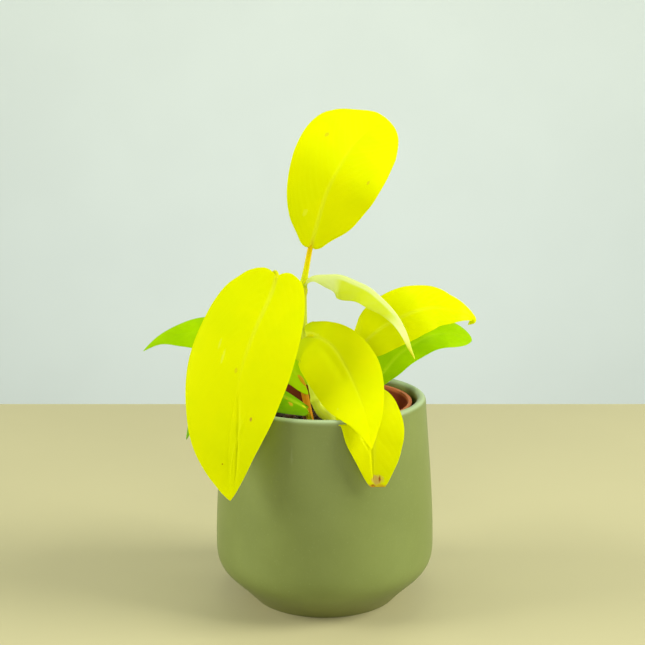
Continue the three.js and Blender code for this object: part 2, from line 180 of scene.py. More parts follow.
class Wire:
    """An output socket of a node. Arithmetic on it adds Math nodes."""

    def __init__(self, finish, socket):
        self.finish = finish
        self.socket = socket

    def math(self, operation, *others):
        return self.finish.node("Math", {"operation": operation}, dict(enumerate([self, *others])))

    def reflected(self, operation, other):
        """The same with this wire on the right, as in 1 - mask."""
        return self.finish.node("Math", {"operation": operation}, {0: other, 1: self})

    def __add__(self, other):
        return self.math("ADD", other)

    __radd__ = __add__

    def __sub__(self, other):
        return self.math("SUBTRACT", other)

    def __rsub__(self, other):
        return self.reflected("SUBTRACT", other)

    def __mul__(self, other):
        return self.math("MULTIPLY", other)

    __rmul__ = __mul__

    def __truediv__(self, other):
        return self.math("DIVIDE", other)

    def __rtruediv__(self, other):
        return self.reflected("DIVIDE", other)

    def __pow__(self, other):
        return self.math("POWER", other)

    def __rpow__(self, other):
        return self.reflected("POWER", other)

    def size(self):
        return self.math("ABSOLUTE")

    def sine(self):
        return self.math("SINE")

    def rise(self, low, high):
        """0 below low, 1 above high, and smooth between; low may be the larger one."""
        sockets = {"Value": self, "From Min": low, "From Max": high}
        return self.finish.node("MapRange", {"interpolation_type": "SMOOTHSTEP"}, sockets)


print("a wire knows:", [name.strip("_") for name, value in vars(Wire).items() if callable(value)])

# %% [markdown]
# ### Finishes
#
# A `Finish` owns one material and makes all its nodes with a single method, which takes the node's
# type, its settings and its sockets. The other methods give names to what finishes need again and
# again: noise, a blend of two colours, a bump, a glossy surface, and one that glows through.

# %% Finishes


class Finish:
    """A material that is built from expressions on its Wires."""

    def __init__(self, name):
        self.material = bpy.data.materials.new(name)
        self.material.use_nodes = True
        self.tree = self.material.node_tree
        self.tree.nodes.clear()

    def node(self, kind, settings=None, sockets=None, out=0):
        """A node of the type ShaderNode<kind>: settings first, then socket values or links."""
        node = self.tree.nodes.new("ShaderNode" + kind)
        for key, value in (settings or {}).items():
            setattr(node, key, value)
        for key, value in (sockets or {}).items():
            if isinstance(value, Wire):
                self.tree.links.new(value.socket, node.inputs[key])
            else:
                socket = node.inputs[key]
                wide = socket.type == "RGBA" and len(value) == 3
                socket.default_value = (*value, 1.0) if wide else value
        return Wire(self, node.outputs[out])

    def blend(self, mask, first, second):
        """first where mask is 0 and second where it is 1, both colours."""
        return self.node("Mix", {"data_type": "RGBA"}, {0: mask, 6: first, 7: second}, out=2)

    def place(self):
        """The point's own coordinates, in metres."""
        return self.node("TexCoord", out=3)

    def level(self):
        """The point's height above the ground, in metres."""
        return self.node("SeparateXYZ", None, {0: self.place()}, out=2)

    def parts(self, name):
        """The three numbers of a vector attribute that the mesh carries."""
        vector = self.node("Attribute", {"attribute_name": name}, out=1)
        return [self.node("SeparateXYZ", None, {0: vector}, out=axis) for axis in range(3)]

    def noise(self, scale, detail, roughness=0.55, stretch=None):
        """Clouds with so many lumps to a metre; an axis with a small stretch gets long ones."""
        where = self.place()
        if stretch:
            where = self.node("Mapping", None, {"Vector": where, "Scale": stretch})
        look = {"Scale": scale, "Detail": detail, "Roughness": roughness}
        return self.node("TexNoise", None, {"Vector": where, **look})

    def bump(self, height, distance, strength):
        """A normal that tilts as if height stood out by the distance."""
        sockets = {"Height": height, "Distance": distance, "Strength": strength}
        return self.node("Bump", None, sockets)

    def shine(self, colour, roughness, normal=None, **fixed):
        """A Principled BSDF; fixed are constants such as Specular_IOR_Level=0.3."""
        sockets = {"Base Color": colour, "Roughness": roughness}
        sockets.update({key.replace("_", " "): value for key, value in fixed.items()})
        if normal is not None:
            sockets["Normal"] = normal
        return self.node("BsdfPrincipled", None, sockets)

    def glowing(self, share, surface, colour, **sockets):
        """The finished material of a surface that lets a share of the light through."""
        through = self.node("BsdfTranslucent", None, {"Color": colour, **sockets})
        return self.finished(self.node("MixShader", None, {0: share, 1: surface, 2: through}))

    def finished(self, shader):
        output = self.tree.nodes.new("ShaderNodeOutputMaterial")
        self.tree.links.new(shader.socket, output.inputs["Surface"])
        return self.material


print("a finish knows:", [name for name in vars(Finish) if not name.startswith("_")])

# %% [markdown]
# ## Building meshes from grids
#
# Almost every piece here is a sheet of rows and columns: a turned wall, a tube or a leaf. One
# helper makes the quads of such a grid and another turns points and faces into a smooth-shaded
# object that rides on the pot. Attributes carry each point's own coordinates, so a finish can
# follow the piece.

# %% Grids and pieces


def grid_faces(rows, columns, wrap=False, start=0):
    """Quads of a grid of points that are stored row by row."""
    across = columns if wrap else columns - 1
    row, column = np.meshgrid(np.arange(rows - 1) * columns, np.arange(across), indexing="ij")
    beside = (column + 1) % columns
    corners = [row + column, row + beside, row + columns + beside, row + columns + column]
    return np.stack(corners, -1).reshape(-1, 4) + start


def piece(name, points, faces, material, slot, replaced=(), attributes=None):
    """A smooth mesh piece that rides on the pot and stands for its CAD nodes."""
    mesh = bpy.data.meshes.new(name)
    corners = [list(map(int, face)) for face in faces]
    mesh.from_pydata(np.asarray(points).reshape(-1, 3).tolist(), [], corners)
    for key, values in (attributes or {}).items():
        attribute = mesh.attributes.new(key, "FLOAT_VECTOR", "POINT")
        attribute.data.foreach_set("vector", np.asarray(values, np.float32).ravel())
    mesh.shade_smooth()
    mesh.materials.append(material)
    made = placed(name, mesh)
    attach(made, "root")
    if replaced:
        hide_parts(*replaced)
    return made


print("a 3 by 3 grid has", len(grid_faces(3, 3)), "faces")

# %% [markdown]
# ### Turned shapes
#
# Pots and soil are round, so they are profiles of (radius, level) points turned round the axis. The
# profiles join straight runs, arcs and cubic curves, as a potter's template would.

# %% Lathe and curves


def lathe(profile, sides):
    """Points and faces of a closed profile of (radius, level) turned round the pot's axis."""
    angles = np.arange(sides) * 2 * math.pi / sides
    profile = np.asarray(profile)
    radius, level = profile[:, :1], profile[:, 1:]
    points = np.stack([radius * np.cos(angles), radius * np.sin(angles), level + 0 * angles], -1)
    faces = grid_faces(len(profile), sides, wrap=True)
    ends = [list(range(sides))[::-1], [(len(profile) - 1) * sides + i for i in range(sides)]]
    return points.reshape(-1, 3), [*faces.tolist(), *ends]


def bezier(start, first, second, end, steps):
    """Points along a cubic curve, without its first one."""
    t = np.linspace(0, 1, steps + 1)[1:, None]
    start, first, second, end = (np.asarray(p, float) for p in (start, first, second, end))
    near, far = (1 - t) ** 3 * start, t**3 * end
    return near + 3 * (1 - t) ** 2 * t * first + 3 * (1 - t) * t**2 * second + far


def arc(centre, radius, start, end, steps):
    """Points round a centre, from one angle to another in degrees."""
    angles = np.radians(np.linspace(start, end, steps + 1))
    return np.asarray(centre) + radius * np.stack([np.cos(angles), np.sin(angles)], -1)


print("a square rod has", len(lathe([(1, 0), (1, 1)], 4)[1]), "faces")

# %% [markdown]
# ## The glazed planter
#
# The planter is thrown or slip-cast, so it is one profile turned round an axis: a foot ring, a
# rounded foot, a wall that draws in towards the lip, and the same line again inside. A lathe of
# many sides keeps the silhouette smooth, which a scaled cylinder with a bevel would not. Under the
# foot a shallow recess leaves a ring to stand on.

# %% Turn the planter
WALL = 2 * LIP
FLOOR = 9 * MM
BELLY_LEVEL = 38 * MM
FOOT_RING = 6 * MM
FOOT_RECESS = 1.4 * MM
SIDES = 192
FOOT_PULL = 0.65  # how far out the rounded foot sweeps before it climbs
BEAD = 0.9 * MM  # how round the foot's edges are
LOW_BEAD = BEAD * 0.6
MIDDLE = 2 * MM  # the lathe's profiles end this near the axis, and a flat face closes them


def planter_side(inset, corner, bottom, steps=28):
    """The wall's line from its bottom corner up to the lip, moved inwards by inset."""
    belly, rim = planter_belly - inset, planter_rim - inset
    middle = (bottom + BELLY_LEVEL) / 2
    third = (RIM_LEVEL - BELLY_LEVEL) / 3
    lean = (planter_belly - planter_rim) / 3
    start, widest, top = (corner, bottom), (belly, BELLY_LEVEL), (rim, RIM_LEVEL - LIP)
    pulled = (corner + (belly - corner) * FOOT_PULL, middle)
    foot = bezier(start, pulled, (belly, middle), widest, steps)
    above, below = (belly, BELLY_LEVEL + third), (rim + lean, RIM_LEVEL - third)
    return np.vstack([foot, bezier(widest, above, below, top, steps)])


profile = np.vstack([
    [(MIDDLE, FOOT_RECESS), (planter_foot - FOOT_RING - BEAD, FOOT_RECESS)],
    arc((planter_foot - FOOT_RING, BEAD), BEAD, 180, 270, 4),
    arc((planter_foot - BEAD, LOW_BEAD), LOW_BEAD, 270, 330, 4),
    planter_side(0.0, planter_foot, LOW_BEAD),
    arc((planter_rim - LIP, RIM_LEVEL - LIP), LIP, 0, 180, 14)[1:],
    planter_side(WALL, planter_foot - WALL / 3, FLOOR)[::-1][1:],
    [(planter_foot - WALL / 3, FLOOR), (MIDDLE, FLOOR)],
])
planter_points, planter_faces = lathe(profile, SIDES)
print("planter:", len(planter_points), "points, wall", round(WALL / MM, 1), "mm")

# %% [markdown]
# ### Satin glaze
#
# A sage-olive glaze that is neither glossy nor matt. Real glaze is never one colour: it pools a
# little darker where it is thick. The lip is painted paler, a painted highlight where its top
# catches the light, and the foot is painted browner, a painted shade of the lower wall where it
# turns down towards the table. Noise on the object's own coordinates gives the clouds, the height
# gives the painted foot shade and lip highlight, and a faint ripple in the bump softens
# reflections.
# A few hairline scratches come from a noise that is stretched along the height.

# %% Glaze
SAGE = (0.176, 0.213, 0.05)
OLIVE = (0.2, 0.24, 0.06)
GLAZE_SPECK = (0.27, 0.33, 0.11)
# the foot colour is painted shade
GLAZE_FOOT_SHADE = (0.21, 0.2, 0.055)
# the lip colour is a painted highlight
GLAZE_LIP_HIGHLIGHT = (0.4, 0.5, 0.26)
GLAZE_SCRATCH = (0.34, 0.38, 0.18)
glaze = Finish("satin_glaze")
level = glaze.level()
cloud = glaze.noise(18, 4)
speck = glaze.noise(900, 2)
scratch = glaze.noise(260, 2, stretch=(1.0, 1.0, 0.06)).rise(0.72, 0.8) * cloud.rise(0.5, 0.62)
foot_shade = level.rise(20 * MM, 1 * MM)
lip_highlight = level.rise(RIM_LEVEL - 2.2 * MM, RIM_LEVEL - 0.4 * MM)
glaze_colour = glaze.blend(cloud.rise(0.35, 0.7), SAGE, OLIVE)
glaze_colour = glaze.blend(speck.rise(0.62, 0.75) * 0.35, glaze_colour, GLAZE_SPECK)
# painted shade: the foot is tinted the browner tone of the lower wall in shade
glaze_colour = glaze.blend(foot_shade * 0.55, glaze_colour, GLAZE_FOOT_SHADE)
# painted highlight: the lip's top is painted pale where it catches the light
glaze_colour = glaze.blend(lip_highlight * 0.8, glaze_colour, GLAZE_LIP_HIGHLIGHT)
glaze_colour = glaze.blend(scratch * 0.25, glaze_colour, GLAZE_SCRATCH)
ripple = glaze.noise(70, 3) + glaze.noise(1500, 2) * 0.08
glaze_skin = glaze.bump(ripple, 0.35 * MM, 0.5)
satin = cloud * 0.12 + scratch * 0.2 + 0.36
glaze_coat = glaze.shine(glaze_colour, satin, glaze_skin, Specular_IOR_Level=0.5)
glaze_material = glaze.finished(glaze_coat)
piece("glazed_planter", planter_points, planter_faces, glaze_material, "glaze", ["planter"])
print("glaze nodes:", len(glaze.tree.nodes))

# %% [markdown]
# ## The nursery pot
#
# A thermoformed pot of thin terracotta-coloured plastic with a rolled lip and faint rings that keep
# stacked pots apart. It is a lathe too: the profile goes up the outside, over the lip and down the
# inside, so the wall has its true thickness everywhere.

# %% Turn the nursery pot
PLASTIC = 1.1 * MM
LIP_STAND = 1.5 * MM
LIP_HEIGHT = 5 * MM
NURSERY_FLOOR = 1.8 * MM
RING_HEIGHT = 0.25 * MM
RING_PERIOD = 9 * MM
pot_top = nursery_high.z
pot_bottom = nursery_low.z
pot_wall = nursery_lip - LIP_STAND


def nursery_radius(level):
    """Outer radius of the nursery pot's tapering wall."""
    return nursery_foot + (pot_wall - nursery_foot) * (level - pot_bottom) / (pot_top - pot_bottom)


under_lip = pot_top - LIP_HEIGHT
in_floor = pot_bottom + NURSERY_FLOOR
round_edge = PLASTIC / 2
wall_levels = np.linspace(in_floor, under_lip - LIP_STAND, 24)
rings = RING_HEIGHT * (np.sin(wall_levels / RING_PERIOD) > 0.92)
outer = np.column_stack([nursery_radius(wall_levels) + rings, wall_levels])
inner = outer[::-1] - [PLASTIC, 0.0]
pot_profile = np.vstack([
    [(MIDDLE, pot_bottom), (nursery_foot - PLASTIC, pot_bottom)],
    arc((nursery_foot - PLASTIC, pot_bottom + PLASTIC), PLASTIC, 270, 350, 4),
    outer,
    arc((nursery_lip - round_edge, under_lip + round_edge), round_edge, 270, 360, 4),
    arc((nursery_lip - round_edge, pot_top - round_edge), round_edge, 0, 90, 4),
    arc((pot_wall - PLASTIC + round_edge, pot_top - round_edge), round_edge, 90, 180, 4),
    [(nursery_radius(under_lip) - PLASTIC, under_lip)],
    inner,
    [(MIDDLE, in_floor)],
])
pot_points, pot_faces = lathe(pot_profile, SIDES)
print("nursery pot:", len(pot_points), "points")

# %% [markdown]
# ### Terracotta plastic
#
# The plastic is coloured all through, a little uneven, scuffed, and paler along the lip where the
# light catches it. Thin plastic also glows when light falls on its other side, so a translucent
# shader is mixed in.

# %% Plastic
TERRACOTTA_DARK = (0.22, 0.035, 0.003)
TERRACOTTA = (0.27, 0.045, 0.005)
TERRACOTTA_LIP = (0.62, 0.17, 0.045)
SCUFFED = (0.55, 0.2, 0.08)
plastic = Finish("terracotta_plastic")
scuff = plastic.noise(240, 4)
lip_highlight = plastic.level().rise(pot_top - 3 * MM, pot_top - MM)
uneven = plastic.noise(30, 2).rise(0.35, 0.65)
plastic_colour = plastic.blend(uneven, TERRACOTTA_DARK, TERRACOTTA)
plastic_colour = plastic.blend(lip_highlight, plastic_colour, TERRACOTTA_LIP)
plastic_colour = plastic.blend(scuff.rise(0.62, 0.8) * 0.25, plastic_colour, SCUFFED)
plastic_skin = plastic.bump(scuff, 0.1 * MM, 0.5)
plastic_gloss = plastic.shine(
    plastic_colour, scuff * 0.3 + 0.35, plastic_skin, Specular_IOR_Level=0.25,
)
plastic_material = plastic.glowing(0.18, plastic_gloss, plastic_colour)
nursery = piece(
    "terracotta_nursery_pot", pot_points, pot_faces, plastic_material, "nursery_plastic",
    ["nursery_pot"],
)
print("plastic nodes:", len(plastic.tree.nodes))

# %% [markdown]
# ### Drain holes
#
# Six round holes go through the floor. They are cut with one boolean, as a punch would, because a
# punched hole has a clean wall through the whole thickness. The cutter goes away afterwards, and
# the pot keeps the cut mesh.

# %% Punch the drain holes
DRAIN_HOLES = 6
DRAIN_CIRCLE = 27 * MM
DRAIN_RADIUS = 4 * MM
PUNCH_SIDES = 24
PUNCH_PAST = 2 * MM


def drill_holes(pot):
    """Cuts the drain holes with one boolean and keeps the result as the pot's own mesh."""
    rings = []
    faces = []
    for hole in range(DRAIN_HOLES):
        turn = hole * 2 * math.pi / DRAIN_HOLES
        centre = DRAIN_CIRCLE * np.array([math.cos(turn), math.sin(turn)])
        circle = arc(centre, DRAIN_RADIUS, 0, 360 - 360 / PUNCH_SIDES, PUNCH_SIDES - 1)
        for level in (pot_bottom - PUNCH_PAST, in_floor + PUNCH_PAST):
            rings.append(np.column_stack([circle, np.full(PUNCH_SIDES, level)]))
        start = 2 * hole * PUNCH_SIDES
        half, end = start + PUNCH_SIDES, start + 2 * PUNCH_SIDES
        faces += grid_faces(2, PUNCH_SIDES, wrap=True, start=start).tolist()
        faces += [list(range(start, half))[::-1], list(range(half, end))]
    mesh = bpy.data.meshes.new("drills")
    mesh.from_pydata(np.vstack(rings).tolist(), [], faces)
    drills = placed("drills", mesh)
    cutter = pot.modifiers.new("drain_holes", "BOOLEAN")
    cutter.object = drills
    cutter.solver = "EXACT"
    shaped = pot.evaluated_get(bpy.context.evaluated_depsgraph_get())
    drilled = bpy.data.meshes.new_from_object(shaped)
    pot.modifiers.remove(cutter)
    pot.data = drilled
    bpy.data.objects.remove(drills)


drill_holes(nursery)
print("nursery pot:", len(nursery.data.polygons), "faces after drilling")

# %% [markdown]
# ## Potting soil
#
# Peat fills the nursery pot to a little below its lip. The plug is a turned solid whose top is
# raised and sunk by random waves of many lengths, a simple way to get ground that is uneven at
# every scale. The heights come from a function, so grains and stalks can ask for them later.

# %% Soil surface
SOIL_TOP = soil_high.z
SOIL_EDGE = SOIL_TOP - 1.5 * MM


def random_waves(count, finest, coarsest, seed):
    """A bumpy height, of about -1 to 1, over the ground."""
    draw = np.random.default_rng(seed)
    angle = draw.uniform(0, 2 * math.pi, count)
    length = np.exp(draw.uniform(math.log(finest), math.log(coarsest), count))
    phase = draw.uniform(0, 2 * math.pi, count)
    strength = (length / coarsest) ** 0.6

    def height(x, y):
        x, y = np.asarray(x)[..., None], np.asarray(y)[..., None]
        turns = 2 * math.pi * (x * np.cos(angle) + y * np.sin(angle)) / length + phase
        return (np.cos(turns) * strength).sum(-1) / np.sqrt((strength**2).sum())

    return height


soil_waves = random_waves(60, 2.5 * MM, 22 * MM, 3)


def soil_height(x, y):
    """Level of the soil's top over a point."""
    away = np.hypot(x, y) / soil_radius
    slope = SOIL_TOP - (SOIL_TOP - SOIL_EDGE) * away
    return slope + 0.7 * MM * soil_waves(x, y) * (1 - away**8)


SOIL_SIDES = 150
SOIL_MIDDLE = 1.2 * MM
TOP_RINGS = 44
top_rings = np.linspace(soil_radius, SOIL_MIDDLE, TOP_RINGS)
side_levels = np.linspace(soil_low.z, SOIL_EDGE - 0.4 * MM, 6)
soil_foot = nursery_radius(soil_low.z) - PLASTIC - 0.3 * MM
side_radii = np.interp(side_levels, [soil_low.z, SOIL_EDGE], [soil_foot, soil_radius])
soil_profile = np.vstack([
    [(SOIL_MIDDLE, soil_low.z)],
    np.column_stack([side_radii, side_levels]),
    np.column_stack([top_rings, np.full(TOP_RINGS, SOIL_TOP)]),
])
soil_points, soil_faces = lathe(soil_profile, SOIL_SIDES)
on_top = np.isclose(soil_points[:, 2], SOIL_TOP)
soil_points[on_top, 2] = soil_height(soil_points[on_top, 0], soil_points[on_top, 1])
print("soil:", len(soil_points), "points, top at", round(SOIL_TOP / MM, 1), "mm")

# %% [markdown]
# ### Moist peat
#
# Peat is nearly black where it is wet and brown where it has dried. Fine grit sets the colour, and
# broad damp patches lighten it. The bump is strong, because the crumbs are coarse.

# %% Peat
WET_PEAT = (0.016, 0.008, 0.004)
BROWN_PEAT = (0.085, 0.045, 0.022)
DRY_PEAT = (0.13, 0.075, 0.04)
peat = Finish("moist_peat")
grit = peat.noise(900, 5, roughness=0.7)
damp = peat.noise(90, 3)
peat_colour = peat.blend(grit.rise(0.3, 0.7), WET_PEAT, BROWN_PEAT)
peat_colour = peat.blend(damp.rise(0.5, 0.75) * 0.5, peat_colour, DRY_PEAT)
peat_skin = peat.bump(grit + damp, 1.2 * MM, 0.9)
peat_face = peat.shine(peat_colour, damp * 0.2 + 0.72, peat_skin, Specular_IOR_Level=0.3)
peat_material = peat.finished(peat_face)
piece("peat_plug", soil_points, soil_faces, peat_material, "soil", ["potting_soil"])
print("peat nodes:", len(peat.tree.nodes))

# %% [markdown]
# ### Lumps
#
# Crumbs cannot come from a bump map, because they must stand out against the pot's wall. Each is a
# ball of few faces that random waves pull out of shape. Many are joined in one mesh later, which is
# much lighter than hundreds of objects.

# %% Lump helpers


def sphere_grid(rings, sides):
    """Directions and faces of a ball, poles closed by a small fan."""
    tilt = np.linspace(0, math.pi, rings + 2)[1:-1, None]
    turn = np.arange(sides) * 2 * math.pi / sides
    flat = np.sin(tilt)
    ways = np.stack([flat * np.cos(turn), flat * np.sin(turn), np.cos(tilt) + 0 * turn], -1)
    ways = np.vstack([ways.reshape(-1, 3), [(0, 0, 1), (0, 0, -1)]])
    faces = grid_faces(rings, sides, wrap=True)[:, ::-1].tolist()
    north, south, last = rings * sides, rings * sides + 1, (rings - 1) * sides
    for side in range(sides):
        beside = (side + 1) % sides
        faces.append([side, beside, north])
        faces.append([last + beside, last + side, south])
    return ways, faces


def lump(ways, radii, centre, seed, roughness=0.28):
    """A ball pulled into a rough grain by a few random waves."""
    draw = np.random.default_rng(seed)
    directions = draw.normal(size=(7, 3))
    swell = np.cos(ways @ directions.T * 2.2 + draw.uniform(0, 6.3, 7)).sum(-1) / 3.7
    turn = draw.uniform(0, 2 * math.pi)
    cosine, sine = math.cos(turn), math.sin(turn)
    spin = np.array([[cosine, -sine, 0], [sine, cosine, 0], [0, 0, 1]])
    return (ways * (1 + roughness * swell)[:, None] * radii) @ spin.T + centre


print("a crumb has", len(sphere_grid(4, 7)[1]), "faces")

# %% [markdown]
# ### Scattering
#
# A square root keeps the places even over the round soil, and a cube makes small grains far more
# common than large ones. The places come from one seeded generator, drawn in a fixed order.

# %% Scattered lumps
CRUMB_SHAPE = np.array([1.0, 0.8, 0.75])


def joined_lumps(places, sizes, seed, rings=4, sides=7):
    """Many small lumps as the points and faces of one mesh."""
    ways, faces = sphere_grid(rings, sides)
    points, all_faces = [], []
    for number, (centre, size) in enumerate(zip(places, sizes)):
        stretch = CRUMB_SHAPE * size
        points.append(lump(ways, stretch, centre, seed + number))
        all_faces += [[i + number * len(ways) for i in face] for face in faces]
    return np.vstack(points), all_faces


rng = np.random.default_rng(7)


def scattered(count, smallest, largest, reach=0.95):
    """Seeded places on the soil with sizes, more small ones than large ones."""
    away = soil_radius * reach * np.sqrt(rng.uniform(0, 1, count))
    turn = rng.uniform(0, 2 * math.pi, count)
    x, y = away * np.cos(turn), away * np.sin(turn)
    size = smallest + (largest - smallest) * rng.uniform(0, 1, count) ** 3
    return np.column_stack([x, y, soil_height(x, y) + size * 0.3]), size


print("soil to scatter on:", round(math.pi * (soil_radius / MM) ** 2), "square mm")

# %% [markdown]
# ### Crumbs and perlite
#
# Perlite is a puffed white glass full of pits, so it is rough and chalky, and its pits are painted
# darker, a painted shade in the low spots of its bump. The larger grains stand where the frame has
# them, and the crumbs and fine perlite lie between them.

# %% Crumbs and perlite
# painted shade: the colour of the pits, the low spots of the bump
PIT_SHADE = (0.42, 0.38, 0.3)
CHALK = (0.72, 0.7, 0.62)
crumb_places, crumb_sizes = scattered(520, 0.6 * MM, 2.3 * MM)
piece("peat_crumbs", *joined_lumps(crumb_places, crumb_sizes, 100), peat_material, "soil")

chalk = Finish("perlite_grain")
pit = chalk.noise(1400, 3)
# painted shade: the low spots of the pit bump are painted darker
chalk_colour = chalk.blend(pit.rise(0.35, 0.6), PIT_SHADE, CHALK)
chalk_face = chalk.shine(chalk_colour, pit * 0.1 + 0.85, chalk.bump(pit, 0.4 * MM, 0.8))
chalk_material = chalk.finished(chalk_face)
fine_places, fine_sizes = scattered(46, 0.5 * MM, 1.3 * MM, 0.85)
piece("fine_perlite", *joined_lumps(fine_places, fine_sizes, 900), chalk_material, "perlite")


def numbered_lumps(prefix, title, ways, faces, share, seed, roughness, material, slot):
    """One lump for each CAD node whose name starts with the prefix, within the node's box."""
    names = sorted(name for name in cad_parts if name.startswith(prefix))
    for number, name in enumerate(names):
        low, high = (np.array(corner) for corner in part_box(name))
        half = (high - low) / 2 * share
        points = lump(ways, half, (low + high) / 2, seed + number, roughness)
        piece(f"{title}_{number + 1}", points, faces, material, slot, [name])
    print(len(names), "pieces:", title)


ball, ball_faces = sphere_grid(9, 14)
numbered_lumps(
    "perlite_", "perlite_grain", ball, ball_faces, 0.95, 40, 0.2, chalk_material, "perlite",
)
print(len(crumb_places), "crumbs and", len(fine_places), "fine perlite grains")

# %% [markdown]
# ### Bark chips
#
# A chip of bark is dark, angular and layered. A ball whose points are pushed towards a box has the
# right blunt corners, and a noise that is squeezed along the height gives the layers.

# %% Bark chips
BARK_DARK = (0.055, 0.024, 0.012)
BARK_BROWN = (0.2, 0.09, 0.045)
CHIP_SHARE = np.array([0.8, 0.7, 0.75])
wood = Finish("bark_chip")
fibre = wood.noise(500, 4, 0.65, stretch=(1.0, 1.0, 5.0))
bark_colour = wood.blend(fibre.rise(0.35, 0.65), BARK_DARK, BARK_BROWN)
bark_face = wood.shine(bark_colour, fibre * 0.15 + 0.78, wood.bump(fibre, 0.6 * MM, 0.9))
bark_material = wood.finished(bark_face)
ball, ball_faces = sphere_grid(11, 20)
boxy = np.sign(ball) * np.abs(ball) ** 0.45
numbered_lumps(
    "bark_", "bark_chip", boxy, ball_faces, CHIP_SHARE, 70, 0.12, bark_material, "bark",
)
print("bark nodes:", len(wood.tree.nodes))

# %% [markdown]
# ## Curves for stalks and midribs
#
# A stalk and a leaf's midrib are both smooth curves through a few points. Catmull-Rom passes
# through every point, so the points can be read as places on the plant, and walking the curve by
# its length keeps rows of mesh evenly spaced.

# %% Paths
PROBE = 0.004  # the share of a path over which its heading is measured
PATH_STEPS = 60


def unit(vectors):
    vectors = np.asarray(vectors, float)
    return vectors / np.linalg.norm(vectors, axis=-1, keepdims=True)


class Path:
    """A smooth curve through points, walked by its share of the length."""

    def __init__(self, points):
        points = np.asarray(points, float)
        knots = np.vstack([2 * points[0] - points[1], points, 2 * points[-1] - points[-2]])
        t = np.linspace(0, 1, PATH_STEPS, endpoint=False)[:, None]
        runs = []
        for a, b, c, d in zip(knots, knots[1:], knots[2:], knots[3:]):
            cubic = (2 * a - 5 * b + 4 * c - d) * t**2 + (3 * b - a - 3 * c + d) * t**3
            runs.append(b + 0.5 * ((c - a) * t + cubic))
        self.line = np.vstack([*runs, points[-1:]])
        steps = np.linalg.norm(np.diff(self.line, axis=0), axis=1)
        self.walked = np.concatenate([[0], np.cumsum(steps)])
        self.length = self.walked[-1]

    def at(self, share):
        far = np.asarray(share, float) * self.length
        return np.stack([np.interp(far, self.walked, self.line[:, axis]) for axis in range(3)], -1)

    def heading(self, share):
        """The unit direction in which the curve runs."""
        share = np.clip(share, PROBE, 1 - PROBE)
        return unit(self.at(share + PROBE) - self.at(share - PROBE))


corner = Path([(0, 0, 0), (1, 0, 0), (1, 1, 0)])
print("a path round a right angle is", round(corner.length, 2), "times the side")

# %% [markdown]
# ### Places on the plant
#
# Leaves and stalks are easiest to place from the planter's rim: a point is either above the pot, or
# outside the rim in some direction. The rim itself comes from the frame, so the plant stays on the
# pot when the pot changes.

# %% Places


def metres(points):
    return np.asarray(points, float) * MM


def over_pot(x, y, up):
    """A point in metres from millimetres off the pot's axis and above the planter's rim."""
    return np.array([x * MM, y * MM, RIM_LEVEL + up * MM])


def outside_rim(degrees, out, up):
    """A point beyond the planter's outer rim, in a direction counted from +X."""
    turn = math.radians(degrees)
    radius = planter_rim + out * MM
    return np.array([radius * math.cos(turn), radius * math.sin(turn), RIM_LEVEL + up * MM])


def smooth_through(x, known_x, known_y, end_slope=None):
    """A smooth curve y(x) through known points."""
    known_x, known_y = np.asarray(known_x, float), np.asarray(known_y, float)
    slopes = np.gradient(known_y, known_x)
    if end_slope is not None:
        slopes[-1] = end_slope
    cell = np.clip(np.searchsorted(known_x, x) - 1, 0, len(known_x) - 2)
    width = known_x[cell + 1] - known_x[cell]
    t = (x - known_x[cell]) / width
    start, end = known_y[cell], known_y[cell + 1]
    rise_start, rise_end = slopes[cell] * width, slopes[cell + 1] * width
    return (
        (2 * t**3 - 3 * t**2 + 1) * start
        + (t**3 - 2 * t**2 + t) * rise_start
        + (3 * t**2 - 2 * t**3) * end
        + (t**3 - t**2) * rise_end
    )


print("the rim's front is at (m)", outside_rim(-90, 0, 0).round(3))

# %% [markdown]
# ## The leaf blade
#
# A blade is a thin sheet that bends in two ways: its midrib arches, and each half curls about the
# midrib. A flat outline that is bent afterwards would stretch, so the sheet is built straight from
# its midrib: every row crosses it at right angles and is as wide as the outline says. The outline
# is a short list of widths, each a share of the midrib with the half-width on either side. The base
# may draw back into lobes beside the stalk.

# %% Blade surface


def outline_width(outline, u, side):
    """Half-width at u on one side, -1 or 1; widths are (share, minus side, plus side) in mm."""
    shares, minus, plus = np.array(outline["widths"]).T
    angles = np.arccos(1 - 2 * shares)
    blunt = outline.get("blunt", 0.0)
    known = (plus if side > 0 else minus) * MM
    end = blunt * (known[-1] - known[-2]) / (angles[-1] - angles[-2])
    turned = np.arccos(1 - 2 * np.clip(u, 0, 1))
    return np.maximum(smooth_through(turned, angles, known, end), 0)


def blade_frame(leaf, rib, u):
    """The midrib's points, and the directions along it, across it and out of the upper side."""
    along = rib.heading(u)
    at_base, at_tip = np.asarray(leaf["face"])
    face = at_base * (1 - u[..., None]) + at_tip * u[..., None]
    face = unit(face - (face * along).sum(-1, keepdims=True) * along)
    return rib.at(u), along, np.cross(along, face), face


